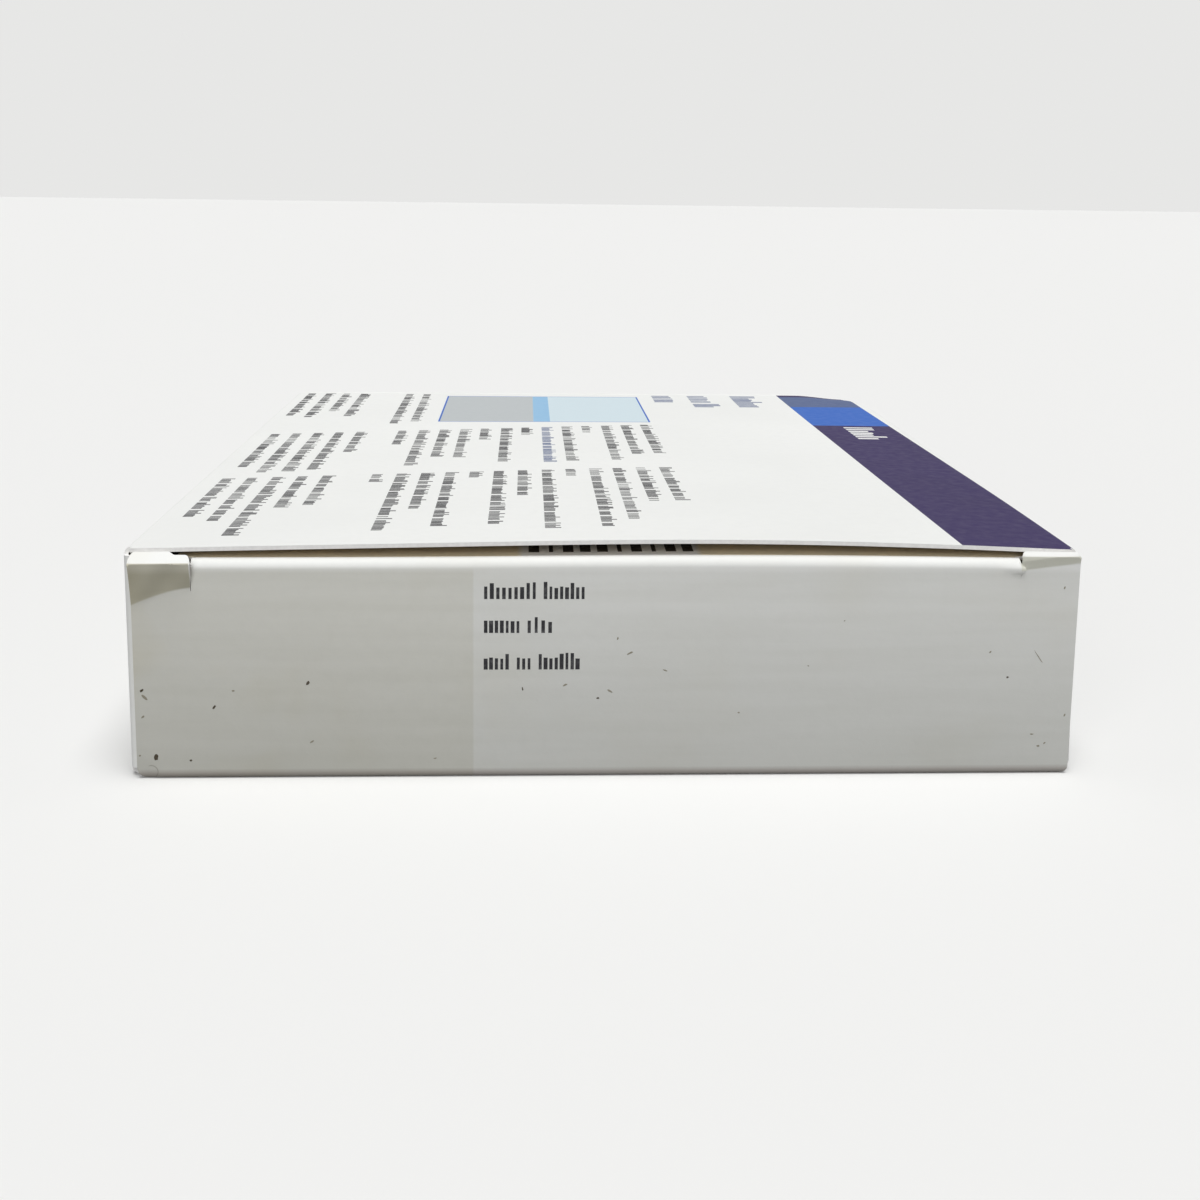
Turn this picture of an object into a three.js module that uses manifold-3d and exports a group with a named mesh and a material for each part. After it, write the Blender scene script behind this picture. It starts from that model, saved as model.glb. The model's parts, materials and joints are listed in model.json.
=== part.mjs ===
// A flat-lying tuck-end medicine carton with its leaflet and foil strips, in millimetres, +Z up.
// X runs along the end that has the visible tuck flap, Y runs along the carton, and Y is lowest there.
import * as THREE from 'three';
import * as BufferGeometryUtils from 'three/addons/utils/BufferGeometryUtils.js';
import Module from 'manifold-3d';

const wasm = await Module();
wasm.setup();

// Carton
const CARTON_WIDTH = 90;
const CARTON_LENGTH = 110;
const CARTON_HEIGHT = 22;
const BOARD = 0.4;
const EDGE_RADIUS = 0.7;
const PANEL_BOW = 0.5;
const GAP = 0.3;

// End flaps
const FLAP_SIDE_CLEARANCE = 0.6;
const FOOT_RADIUS = 0.5;
const FOLD_RADIUS = 0.9;
const FOLD_DROP = 0.9;
const SHOULDER_WIDTH = 6;
const SLIT_WIDTH = 0.4;
const SHOULDER_CREASE_DEPTH = 4.8;
const SHOULDER_FLARE = 0.8;
const TONGUE_LENGTH = 12;
const TONGUE_SLOPE = THREE.MathUtils.degToRad(5);
const TONGUE_CORNER = 4;

// Dust flaps
const DUST_LENGTH = 23;
const DUST_EDGE_MARGIN = 1.3;
const DUST_TAPER = 2;
const DUST_TIP_RADIUS = 3;
const TONGUE_SWEEP = 2.6;

// Glued seam
const SEAM_WIDTH = 14;
const SEAM_TAPER = 4;

// Contents
const STRIP_COUNT = 3;
const STRIP_SIDE_CLEARANCE = 3.6;
const STRIP_END_CLEARANCE = 7.4;
const STRIP_FOIL = 0.5;
const STRIP_CORNER = 4;
const POCKET_ROWS = 2;
const POCKET_COLUMNS = 5;
const POCKET_RADIUS = 6.5;
const POCKET_HEIGHT = 3;
const POCKET_ROOF = 0.6;
const LEAFLET_WIDTH = 76;
const LEAFLET_LENGTH = 42;
const LEAFLET_LAYERS = 4;
const LEAFLET_SHEET = 0.35;

// Where things come from those sizes
const halfWidth = CARTON_WIDTH / 2;
const endY = -CARTON_LENGTH / 2;
const dustOuterY = endY + BOARD + GAP;
const tubeEndY = dustOuterY;
const foldLineY = dustOuterY + EDGE_RADIUS;
const flapHalfWidth = halfWidth - FLAP_SIDE_CLEARANCE;
const foldHalfWidth = flapHalfWidth - SHOULDER_WIDTH;
const tongueHalfWidth = foldHalfWidth - SLIT_WIDTH;
const foldAxisY = endY + FOLD_RADIUS;
const foldAxisZ = CARTON_HEIGHT - FOLD_DROP - FOLD_RADIUS;
const footAxisY = endY + FOOT_RADIUS;
const footAxisZ = FOOT_RADIUS;
const dustTopZ = foldAxisZ - TONGUE_SWEEP + FOLD_RADIUS;
const shoulderCreaseZ = CARTON_HEIGHT - SHOULDER_CREASE_DEPTH;
const contentsNearY = dustOuterY + BOARD + STRIP_END_CLEARANCE;
const contentsFarY = -foldAxisY - TONGUE_LENGTH - 2 * GAP;
const contentsY = (contentsNearY + contentsFarY) / 2;
const stripLength = contentsFarY - contentsNearY;
const stripWidth = 2 * (halfWidth - BOARD - STRIP_SIDE_CLEARANCE);

const white = 0xe9eae6;
const rawBrown = 0x9a855f;

function cardMaterial(color) {
  return new THREE.MeshStandardMaterial({ color, roughness: 0.6, metalness: 0 });
}

// Booleans on closed three.js geometries

function toSolid(geometry) {
  const bare = geometry.clone();
  bare.deleteAttribute('normal');
  bare.deleteAttribute('uv');
  const merged = BufferGeometryUtils.mergeVertices(bare, 1e-5);
  return new wasm.Manifold(new wasm.Mesh({
    numProp: 3,
    vertProperties: new Float32Array(merged.attributes.position.array),
    triVerts: new Uint32Array(merged.index.array),
  }));
}

function toGeometry(solid) {
  const mesh = solid.getMesh();
  const geometry = new THREE.BufferGeometry();
  geometry.setAttribute('position', new THREE.BufferAttribute(mesh.vertProperties, 3));
  geometry.setIndex(new THREE.BufferAttribute(mesh.triVerts, 1));
  geometry.computeVertexNormals();
  return geometry;
}

function union(geometries) {
  return geometries.map(toSolid).reduce((joined, next) => joined.add(next));
}

// Prisms drawn in one plane and run along the third axis

function prismAlongX(shape, x0, x1, curveSegments = 8) {
  const geometry = new THREE.ExtrudeGeometry(shape, { depth: x1 - x0, bevelEnabled: false, curveSegments });
  return geometry.applyMatrix4(new THREE.Matrix4().set(0, 0, 1, x0, 1, 0, 0, 0, 0, 1, 0, 0, 0, 0, 0, 1));
}

function prismAlongY(shape, y0, y1, steps = 1, curveSegments = 4) {
  const geometry = new THREE.ExtrudeGeometry(shape, {
    depth: y1 - y0, steps, bevelEnabled: false, curveSegments,
  });
  return geometry.rotateX(Math.PI / 2).translate(0, y1, 0);
}

function prismAlongZ(shape, z0, z1, curveSegments = 6) {
  return new THREE.ExtrudeGeometry(shape, { depth: z1 - z0, bevelEnabled: false, curveSegments })
    .translate(0, 0, z0);
}

function boxBetween(low, high) {
  return new THREE.BoxGeometry(high[0] - low[0], high[1] - low[1], high[2] - low[2])
    .translate((low[0] + high[0]) / 2, (low[1] + high[1]) / 2, (low[2] + high[2]) / 2);
}

// Tube of four panels

function traceSection(path, inset) {
  const radius = EDGE_RADIUS - inset / 2;
  const right = halfWidth - inset;
  const top = CARTON_HEIGHT - inset;
  const flat = right - radius;
  const bowSteps = 10;
  path.moveTo(-flat, inset);
  path.lineTo(flat, inset);
  path.absarc(flat, inset + radius, radius, -Math.PI / 2, 0, false);
  path.lineTo(right, top - radius);
  path.absarc(flat, top - radius, radius, 0, Math.PI / 2, false);
  for (let step = 1; step < bowSteps; step += 1) {
    const x = flat * (1 - 2 * step / bowSteps);
    path.lineTo(x, top + bowAt(x));
  }
  path.lineTo(-flat, top);
  path.absarc(-flat, top - radius, radius, Math.PI / 2, Math.PI, false);
  path.lineTo(-right, inset + radius);
  path.absarc(-flat, inset + radius, radius, Math.PI, 1.5 * Math.PI, false);
}

function tubeGeometry() {
  const section = new THREE.Shape();
  traceSection(section, 0);
  const hollow = new THREE.Path();
  traceSection(hollow, BOARD);
  section.holes.push(hollow);
  return flattenBowTowardsFarEnd(prismAlongY(section, tubeEndY, -tubeEndY, 6));
}

// The top panel is pushed up at the end that shows, and lies flat at the far end.
function bowAt(x) {
  const reach = halfWidth - EDGE_RADIUS - BOARD / 2;
  return PANEL_BOW * Math.max(0, 1 - (x / reach) ** 2);
}

function flattenBowTowardsFarEnd(geometry) {
  const position = geometry.attributes.position;
  for (let index = 0; index < position.count; index += 1) {
    if (position.getZ(index) < CARTON_HEIGHT / 2) continue;
    const along = (position.getY(index) - tubeEndY) / (-2 * tubeEndY);
    const lost = 1 - (1 - along) ** 1.5;
    position.setZ(index, position.getZ(index) - lost * bowAt(position.getX(index)));
  }
  return geometry;
}

// A dust flap folds in from the side wall, lies behind the end flap and keeps clear of the tongue.
function dustFlap(side) {
  const corner = new THREE.Shape();
  const centreX = halfWidth - EDGE_RADIUS;
  const overlap = 1;
  corner.moveTo(halfWidth, foldLineY + overlap);
  corner.lineTo(halfWidth - BOARD, foldLineY + overlap);
  corner.lineTo(halfWidth - BOARD, foldLineY);
  corner.absarc(centreX, foldLineY, EDGE_RADIUS - BOARD, 0, -Math.PI / 2, true);
  corner.lineTo(centreX - overlap, dustOuterY + BOARD);
  corner.lineTo(centreX - overlap, dustOuterY);
  corner.lineTo(centreX, dustOuterY);
  corner.absarc(centreX, foldLineY, EDGE_RADIUS, -Math.PI / 2, 0, false);
  const lowZ = DUST_EDGE_MARGIN;
  const highZ = CARTON_HEIGHT - DUST_EDGE_MARGIN;

  const rootX = centreX - overlap / 2;
  const reliefX = foldHalfWidth + GAP;
  const tipX = halfWidth - DUST_LENGTH;
  const plate = new THREE.Shape();
  plate.moveTo(rootX, lowZ);
  plate.lineTo(rootX, highZ);
  plate.lineTo(reliefX, highZ);
  plate.lineTo(reliefX, dustTopZ);
  plate.lineTo(tipX + DUST_TIP_RADIUS, dustTopZ);
  plate.absarc(tipX + DUST_TIP_RADIUS, dustTopZ - DUST_TIP_RADIUS, DUST_TIP_RADIUS, Math.PI / 2, Math.PI, false);
  plate.lineTo(tipX, lowZ + DUST_TAPER + DUST_TIP_RADIUS);
  plate.absarc(tipX + DUST_TIP_RADIUS, lowZ + DUST_TAPER + DUST_TIP_RADIUS, DUST_TIP_RADIUS,
    Math.PI, 1.5 * Math.PI, false);
  const solid = union([
    prismAlongZ(corner, lowZ, highZ),
    prismAlongY(plate, dustOuterY, dustOuterY + BOARD),
  ]);
  return side > 0 ? solid : solid.mirror([1, 0, 0]);
}

// The wall below the folded flaps' lines is cut back, and the top panel alone runs out to the cut edge.
function endRelief() {
  const reach = 5;
  return toSolid(boxBetween(
    [-halfWidth - reach, endY - reach, -reach],
    [halfWidth + reach, foldLineY, CARTON_HEIGHT - EDGE_RADIUS],
  ));
}

function turnedToFarEnd(solid) {
  const turn = new THREE.Matrix4().makeRotationX(Math.PI).setPosition(0, 0, CARTON_HEIGHT);
  return solid.transform(turn.elements);
}

function seamGeometry() {
  const wallX = halfWidth - BOARD;
  const nearY = foldLineY + 1;
  const highZ = CARTON_HEIGHT - EDGE_RADIUS - BOARD;
  const outline = new THREE.Shape();
  outline.moveTo(nearY, highZ);
  outline.lineTo(nearY + SEAM_TAPER, highZ - SEAM_WIDTH);
  outline.lineTo(-nearY - SEAM_TAPER, highZ - SEAM_WIDTH);
  outline.lineTo(-nearY, highZ);
  const overlap = BOARD / 2;
  return prismAlongX(outline, -wallX - overlap, -wallX + BOARD);
}

function cartonGeometry() {
  const nearDustFlaps = dustFlap(1).add(dustFlap(-1));
  const solid = toSolid(tubeGeometry())
    .subtract(endRelief())
    .subtract(turnedToFarEnd(endRelief()))
    .add(toSolid(seamGeometry()))
    .add(nearDustFlaps)
    .add(turnedToFarEnd(nearDustFlaps));
  return toGeometry(solid);
}

// End flap: foot, panel, two shoulders beside the fold, and the fold's outer quarter

function ringSector(centreY, centreZ, outer, inner, from, to) {
  const sector = new THREE.Shape();
  sector.absarc(centreY, centreZ, outer, from, to, true);
  sector.absarc(centreY, centreZ, inner, to, from, false);
  return sector;
}

function leaningShoulder(lean) {
  const overlap = 0.5;
  const topZ = CARTON_HEIGHT;
  const shape = new THREE.Shape();
  shape.moveTo(endY, shoulderCreaseZ - overlap);
  shape.lineTo(endY + BOARD, shoulderCreaseZ - overlap);
  shape.lineTo(endY + BOARD, shoulderCreaseZ);
  shape.lineTo(endY + BOARD - lean, topZ);
  shape.lineTo(endY - lean, topZ);
  shape.lineTo(endY, shoulderCreaseZ);
  return shape;
}

function endFlapGeometry(leftFlare) {
  const foot = new THREE.Shape();
  foot.absarc(footAxisY, footAxisZ, FOOT_RADIUS, 0, 2 * Math.PI, false);
  const panel = new THREE.Shape();
  panel.moveTo(-flapHalfWidth, footAxisZ);
  panel.lineTo(flapHalfWidth, footAxisZ);
  panel.lineTo(flapHalfWidth, shoulderCreaseZ);
  panel.lineTo(foldHalfWidth, shoulderCreaseZ);
  panel.lineTo(tongueHalfWidth, shoulderCreaseZ);
  panel.lineTo(tongueHalfWidth, foldAxisZ);
  panel.lineTo(-tongueHalfWidth, foldAxisZ);
  panel.lineTo(-tongueHalfWidth, shoulderCreaseZ);
  panel.lineTo(-flapHalfWidth, shoulderCreaseZ);
  const foldStart = Math.PI;
  const foldEnd = THREE.MathUtils.degToRad(108);
  const fold = ringSector(foldAxisY, foldAxisZ, FOLD_RADIUS, FOLD_RADIUS - BOARD, foldStart, foldEnd);
  return toGeometry(union([
    prismAlongX(foot, -flapHalfWidth, flapHalfWidth, 16),
    prismAlongY(panel, endY, endY + BOARD),
    prismAlongX(fold, -tongueHalfWidth, tongueHalfWidth),
    prismAlongX(leaningShoulder(leftFlare), -flapHalfWidth, -foldHalfWidth),
    prismAlongX(leaningShoulder(0), foldHalfWidth, flapHalfWidth),
  ]));
}

// Tongue: drawn level with its fold line at the origin, then sloped and set on the fold's axis

function tongueGeometry() {
  const outline = new THREE.Shape();
  outline.moveTo(-tongueHalfWidth, 0);
  outline.lineTo(tongueHalfWidth, 0);
  outline.lineTo(tongueHalfWidth, TONGUE_LENGTH - TONGUE_CORNER);
  outline.absarc(tongueHalfWidth - TONGUE_CORNER, TONGUE_LENGTH - TONGUE_CORNER, TONGUE_CORNER, 0, Math.PI / 2, false);
  outline.lineTo(-tongueHalfWidth + TONGUE_CORNER, TONGUE_LENGTH);
  outline.absarc(-tongueHalfWidth + TONGUE_CORNER, TONGUE_LENGTH - TONGUE_CORNER, TONGUE_CORNER,
    Math.PI / 2, Math.PI, false);
  return prismAlongZ(outline, FOLD_RADIUS - BOARD, FOLD_RADIUS).rotateX(-TONGUE_SLOPE);
}

function addEnd(parent, prefix, leftFlare) {
  const flap = new THREE.Mesh(endFlapGeometry(leftFlare), cardMaterial(white));
  flap.name = `${prefix}_end_flap`;
  const tongue = new THREE.Mesh(tongueGeometry(), cardMaterial(white));
  tongue.name = `${prefix}_tuck_tongue`;
  tongue.position.set(0, foldAxisY, foldAxisZ);
  parent.add(flap, tongue);
}

// Foil strips: a rounded card with low round pockets

function pocketGeometry() {
  const lip = STRIP_FOIL / 2;
  const profile = [
    new THREE.Vector2(0, lip),
    new THREE.Vector2(POCKET_RADIUS, lip),
    new THREE.Vector2(POCKET_RADIUS - POCKET_ROOF, STRIP_FOIL + POCKET_HEIGHT * 0.7),
    new THREE.Vector2(POCKET_RADIUS - 3 * POCKET_ROOF, STRIP_FOIL + POCKET_HEIGHT - POCKET_ROOF / 2),
    new THREE.Vector2(0, STRIP_FOIL + POCKET_HEIGHT),
  ];
  return new THREE.LatheGeometry(profile, 14).rotateX(Math.PI / 2);
}

function stripGeometry() {
  const x = stripWidth / 2 - STRIP_CORNER;
  const y = stripLength / 2 - STRIP_CORNER;
  const outline = new THREE.Shape();
  outline.absarc(x, y, STRIP_CORNER, 0, Math.PI / 2, false);
  outline.absarc(-x, y, STRIP_CORNER, Math.PI / 2, Math.PI, false);
  outline.absarc(-x, -y, STRIP_CORNER, Math.PI, 1.5 * Math.PI, false);
  outline.absarc(x, -y, STRIP_CORNER, 1.5 * Math.PI, 2 * Math.PI, false);
  const pieces = [prismAlongZ(outline, 0, STRIP_FOIL, 4)];
  for (let row = 0; row < POCKET_ROWS; row += 1) {
    for (let column = 0; column < POCKET_COLUMNS; column += 1) {
      const pocketX = stripWidth * ((row + 0.5) / POCKET_ROWS - 0.5);
      const pocketY = stripLength * ((column + 0.5) / POCKET_COLUMNS - 0.5);
      pieces.push(pocketGeometry().translate(pocketX, pocketY, 0));
    }
  }
  return toGeometry(union(pieces));
}

// The leaflet's layers are joined by round folds, in turn at one side and the other.
function leafletGeometry() {
  const pitch = LEAFLET_SHEET * 1.5;
  const outline = new THREE.Shape();
  const half = LEAFLET_LENGTH / 2;
  const edgeZ = (layer) => layer * pitch;
  const notch = 1.2;
  outline.moveTo(-half, edgeZ(0));
  outline.lineTo(half, edgeZ(0));
  for (let layer = 0; layer < LEAFLET_LAYERS; layer += 1) {
    outline.lineTo(half, edgeZ(layer) + LEAFLET_SHEET);
    if (layer < LEAFLET_LAYERS - 1) {
      outline.lineTo(half - notch, edgeZ(layer) + LEAFLET_SHEET);
      outline.lineTo(half - notch, edgeZ(layer + 1));
      outline.lineTo(half, edgeZ(layer + 1));
    }
  }
  const topZ = edgeZ(LEAFLET_LAYERS - 1) + LEAFLET_SHEET;
  outline.lineTo(-half, topZ);
  outline.absarc(-half, topZ / 2, topZ / 2, Math.PI / 2, 1.5 * Math.PI, false);
  return prismAlongX(outline, -LEAFLET_WIDTH / 2, LEAFLET_WIDTH / 2);
}

function addContents(parent) {
  const stripPitch = STRIP_FOIL + POCKET_HEIGHT + GAP;
  for (let index = 0; index < STRIP_COUNT; index += 1) {
    const foil = new THREE.MeshStandardMaterial({ color: 0xc9ccd0, roughness: 0.35, metalness: 0.9 });
    const strip = new THREE.Mesh(stripGeometry(), foil);
    strip.name = `foil_strip_${index + 1}`;
    strip.position.set(0, contentsY, BOARD + GAP + index * stripPitch);
    parent.add(strip);
  }
  const paper = new THREE.MeshStandardMaterial({ color: 0xf2f1ec, roughness: 0.8, metalness: 0 });
  const leaflet = new THREE.Mesh(leafletGeometry(), paper);
  leaflet.name = 'folded_leaflet';
  leaflet.position.set(0, contentsY, BOARD + GAP + STRIP_COUNT * stripPitch);
  parent.add(leaflet);
}

const medicineBox = new THREE.Group();
medicineBox.position.y = SHOULDER_FLARE / 2;

const carton = new THREE.Mesh(cartonGeometry(), cardMaterial(rawBrown));
carton.name = 'carton';
medicineBox.add(carton);

addEnd(medicineBox, 'near', SHOULDER_FLARE);

const farEnd = new THREE.Group();
farEnd.rotation.x = Math.PI;
farEnd.position.z = CARTON_HEIGHT;
addEnd(farEnd, 'far', 0);
medicineBox.add(farEnd);

addContents(medicineBox);

export default medicineBox;
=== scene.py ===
"""A tuck-end medicine carton lying flat: folded board, plain print, foil strips and a leaflet."""
import json
import math
import random

import bmesh
import bpy
from bpy.props import FloatProperty, FloatVectorProperty, IntProperty, PointerProperty
from mathutils import Matrix, Vector


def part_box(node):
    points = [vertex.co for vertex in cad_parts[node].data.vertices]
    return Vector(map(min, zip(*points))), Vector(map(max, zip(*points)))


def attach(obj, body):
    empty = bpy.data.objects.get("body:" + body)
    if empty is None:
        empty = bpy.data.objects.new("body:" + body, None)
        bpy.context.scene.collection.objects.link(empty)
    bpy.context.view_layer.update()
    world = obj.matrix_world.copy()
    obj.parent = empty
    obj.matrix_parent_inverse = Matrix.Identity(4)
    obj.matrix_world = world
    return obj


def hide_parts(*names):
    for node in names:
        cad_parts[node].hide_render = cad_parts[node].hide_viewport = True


bl_info = {
    "name": "Medicine Carton",
    "version": (1, 0, 0),
    "blender": (4, 5, 0),
    "location": "View3D > Sidebar > Carton",
    "description": "Builds a tuck-end medicine carton around its packed frame",
    "category": "Add Mesh",
}

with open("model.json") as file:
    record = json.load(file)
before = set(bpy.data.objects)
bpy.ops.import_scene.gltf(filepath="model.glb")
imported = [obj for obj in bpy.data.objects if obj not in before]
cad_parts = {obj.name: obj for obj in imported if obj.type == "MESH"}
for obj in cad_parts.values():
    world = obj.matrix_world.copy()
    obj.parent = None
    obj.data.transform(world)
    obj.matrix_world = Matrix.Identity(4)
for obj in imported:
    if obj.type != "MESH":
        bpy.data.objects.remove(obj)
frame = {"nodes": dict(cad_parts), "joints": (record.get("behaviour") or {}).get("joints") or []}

# One millimetre in metres
MM = 0.001
# Points closer than this are one point
SAME_PLACE = 1e-7

# Places that come from the frame
JOINTS = {joint["name"]: joint for joint in frame["joints"]}
FOOT_AXIS = Vector(JOINTS["near_flap_fold"]["pos_m"])
FOLD_AXIS = Vector(JOINTS["near_tongue_fold"]["pos_m"])
CARTON_LOW, CARTON_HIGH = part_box("carton")
FLAP_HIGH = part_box("near_end_flap")[1]
TONGUE_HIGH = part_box("near_tuck_tongue")[1]
FAR_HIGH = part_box("far_end_flap")[1]
MID_Y = (CARTON_LOW.y + CARTON_HIGH.y) / 2
HALF_WIDTH = CARTON_HIGH.x
PANEL_TOP = FAR_HIGH.z
BOW = CARTON_HIGH.z - PANEL_TOP
FOOT_RADIUS = FOOT_AXIS.z
END_Y = FOOT_AXIS.y - FOOT_RADIUS
FOLD_RADIUS = FOLD_AXIS.y - END_Y
CUT_EDGE_Y = CARTON_LOW.y
FAR_END_TURN = Matrix.Translation((0, 2 * MID_Y, PANEL_TOP)) @ Matrix.Rotation(math.pi, 4, "X")
FLAP_HALF = FLAP_HIGH.x
TONGUE_HALF = TONGUE_HIGH.x
TONGUE_LENGTH = TONGUE_HIGH.y - FOLD_AXIS.y

# Slits beside the tuck fold, and how far an end flap bulges
SLIT_TOP_HALF = TONGUE_HALF + 0.7 * MM
LEFT_SLIT_Z = 18.1 * MM
RIGHT_SLIT_Z = 19.8 * MM
FACE_BULGE = 0.10 * MM

# Creases of the shoulders, as height at the slit, drop to the outer edge and the power that shapes it
LEFT_CREASE = (18.45 * MM, 1.75 * MM, 1.5)
RIGHT_CREASE = (20.1 * MM, -0.75 * MM, 1.0)
LEFT_ROLL_Z = 20.92 * MM
RIGHT_ROLL_Z = 21.5 * MM

# Shoulders of the used flap: how they sag, roll back, rise and curl at the slit, and how far they splay
SHOULDER_SAG = 0.10 * MM
SAG_WAVE = 9
LEFT_ROLL_SLOPE = 1.5
RIGHT_ROLL_SLOPE = 1.1
RIGHT_RISE = 0.9 * MM
CURL_DEPTH = 0.22 * MM
CURL_REACH = 0.45 * MM
CURL_HEIGHT = 0.4 * MM
SPLAY = 0.22

# Worn edges of an end flap: round lower corners, the lip at the right slit, and where the face lifts
CORNER_ROUND = 0.8 * MM
LEFT_CORNER_ROUND = 1.1 * MM
LEFT_CORNER_INSET = 0.2 * MM
CORNER_REACH = 3 * MM
LIP_REACH = 1.2 * MM
LIP_Z = 20.2 * MM
LIP_HEIGHT = 0.4 * MM
LIP_OUT = 0.30 * MM
LIP_ACROSS = 0.45 * MM
FACE_LIFT_Z = 14 * MM
FACE_LIFT_REACH = 5 * MM

# Small hooked crease by the lower left corner, painted as a line of shade
HOOK_X = -42.9 * MM
HOOK_Z = 0.68 * MM
HOOK_INNER = 0.58 * MM
HOOK_OUTER = 0.64 * MM

# The corner beside it, pressed in a little
PRESS_X = -43.7 * MM
PRESS_Z = 0.3 * MM
PRESS_DEPTH = 0.07 * MM
PRESS_REACH = 1.8 * MM

# Tongue: its widest half, its slopes and where they change, and its round corners
EAR_HALF = 40.5 * MM
TONGUE_RISE = math.radians(3)
TONGUE_DIP = math.radians(4)
RISE_END = 3.5 * MM
DIP_START = 7.5 * MM
TONGUE_STEP = 0.25 * MM
TONGUE_CORNER = 4.0 * MM
FOLD_MARGIN = 0.5 * MM
EAR_START = 0.3 * MM
EAR_GROWTH = 0.25 * MM

# Dust flaps: margins at the walls' edges, the relief beside the tongue, the taper and the tip
DUST_MARGIN = 0.8 * MM
DUST_TOP_MARGIN = 0.72 * MM
DUST_RELIEF_Z = 18.5 * MM
DUST_TAPER = 2.0 * MM
DUST_TIP_RADIUS = 3.0 * MM

# Top panel: where its loose edge rises most, how its right edge drifts and how far its corner is knocked
TOP_REACH = HALF_WIDTH - 0.9 * MM
LIFT_X = 12 * MM
LIFT_SPREAD = 26 * MM
DRIFT_NEAR = -0.55 * MM
DRIFT_GAIN = 1.95 * MM
DRIFT_X = 33 * MM
DRIFT_REACH = 11 * MM
DRIFT_FULL = 0.85
FADE_START = 0.84
FADE_LENGTH = 0.12
KNOCK_DEPTH = 0.9 * MM
KNOCK_REACH = 9 * MM

# Fields of colour on the top panel and the edge of the bare part of the end, in millimetres
BAND_X0 = 33.2
BAND_X1 = 44.35
BAND_END = 70.0
BLUE_Y0 = 21.5
SLATE_Y0 = 40.5
SLATE_Y1 = 52.0
PALE_X0 = -20.3
PALE_X1 = 9.7
PALE_Y0 = 23.5
PALE_Y1 = 50.5
PALE_MID_X = -6.9
PALE_STRIPE = 2.4
PALE_OUTLINE = 0.25
UNCOATED_X = -12.8

# Glued strip inside the left wall
SEAM_WIDTH = 14 * MM
SEAM_TAPER = 4 * MM

# Wear, dirt, yellowing, painted shade and painted bounce on the end flap and the tongue, as tones that the
# white board is multiplied by
HANDLED_TONE = (0.90, 0.90, 0.89)
BARE_TONE = (0.915, 0.905, 0.87)
STREAK_TONE = (0.95, 0.95, 0.94)
SMUDGE_TONE = (0.93, 0.90, 0.81)
LOW_SHADE_TONE = (0.80, 0.80, 0.79)
FOOT_TONE = (0.70, 0.66, 0.65)
LEFT_SHOULDER_SHADE_TONE = (0.74, 0.71, 0.61)
RIGHT_SHOULDER_SHADE_TONE = (0.88, 0.875, 0.79)
YELLOWED_AND_BOUNCE_TONE = (0.97, 0.87, 0.66)
CREASE_SHADE_TONE = (0.20, 0.19, 0.15)

# Near label patch on the tongue, across
LABEL_X0 = -8.5 * MM
LABEL_X1 = 8.4 * MM

# Lamps, as height above the floor, turn to the right and spread in degrees
HIGH_LAMP_PLACE = (78, 15, 34)
FRONT_LAMP_PLACE = (21, -14, 50)


# Sizes and colours that a user would change


class CartonSizes(bpy.types.PropertyGroup):
    """Sizes of the folded board and what happened to it."""

    board: FloatProperty(name="Board", description="Thickness of the board", default=0.4 * MM, unit="LENGTH")
    edge_radius: FloatProperty(name="Edge radius", description="Outer radius of the long folds",
                               default=0.7 * MM, unit="LENGTH")
    slit: FloatProperty(name="Slit", description="Width of the slit beside the tuck fold",
                        default=0.07 * MM, unit="LENGTH")
    left_flare: FloatProperty(name="Left flare", description="How far the left shoulder leans outwards",
                              default=1.0 * MM, unit="LENGTH")
    right_flare: FloatProperty(name="Right flare", description="How far the right shoulder leans outwards",
                               default=0.25 * MM, unit="LENGTH")
    dust_reach: FloatProperty(name="Dust flap reach", description="Length of a dust flap from the side wall",
                              default=23 * MM, unit="LENGTH")
    panel_lift: FloatProperty(name="Panel lift", description="Extra rise of the near end's loose panel edge",
                              default=0.44 * MM, unit="LENGTH")
    fold_lift: FloatProperty(name="Fold lift", description="Rise of the tuck fold under it",
                             default=0.28 * MM, unit="LENGTH")
    edge_bevel: FloatProperty(name="Edge bevel", description="Softening of the cut edges",
                              default=0.09 * MM, unit="LENGTH")


class PrintSizes(bpy.types.PropertyGroup):
    """Sizes of the plain strokes that stand where print would be."""

    ink: FloatProperty(name="Ink", description="Height of a stroke above the board",
                       default=0.012 * MM, unit="LENGTH")
    x_height: FloatProperty(name="Stroke height", description="Height of a short stroke in a row",
                            default=1.2 * MM, unit="LENGTH")
    pitch: FloatProperty(name="Stroke pitch", description="Step from stroke to stroke",
                         default=0.47 * MM, unit="LENGTH")
    line_pitch: FloatProperty(name="Row pitch", description="Step from row to row",
                              default=2.8 * MM, unit="LENGTH")
    bar_pitch: FloatProperty(name="Bar pitch", description="Step between the bars on the tongue",
                             default=1.62 * MM, unit="LENGTH")
    seed: IntProperty(name="Seed", description="Seed for the lengths of words and rows", default=7)


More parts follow.
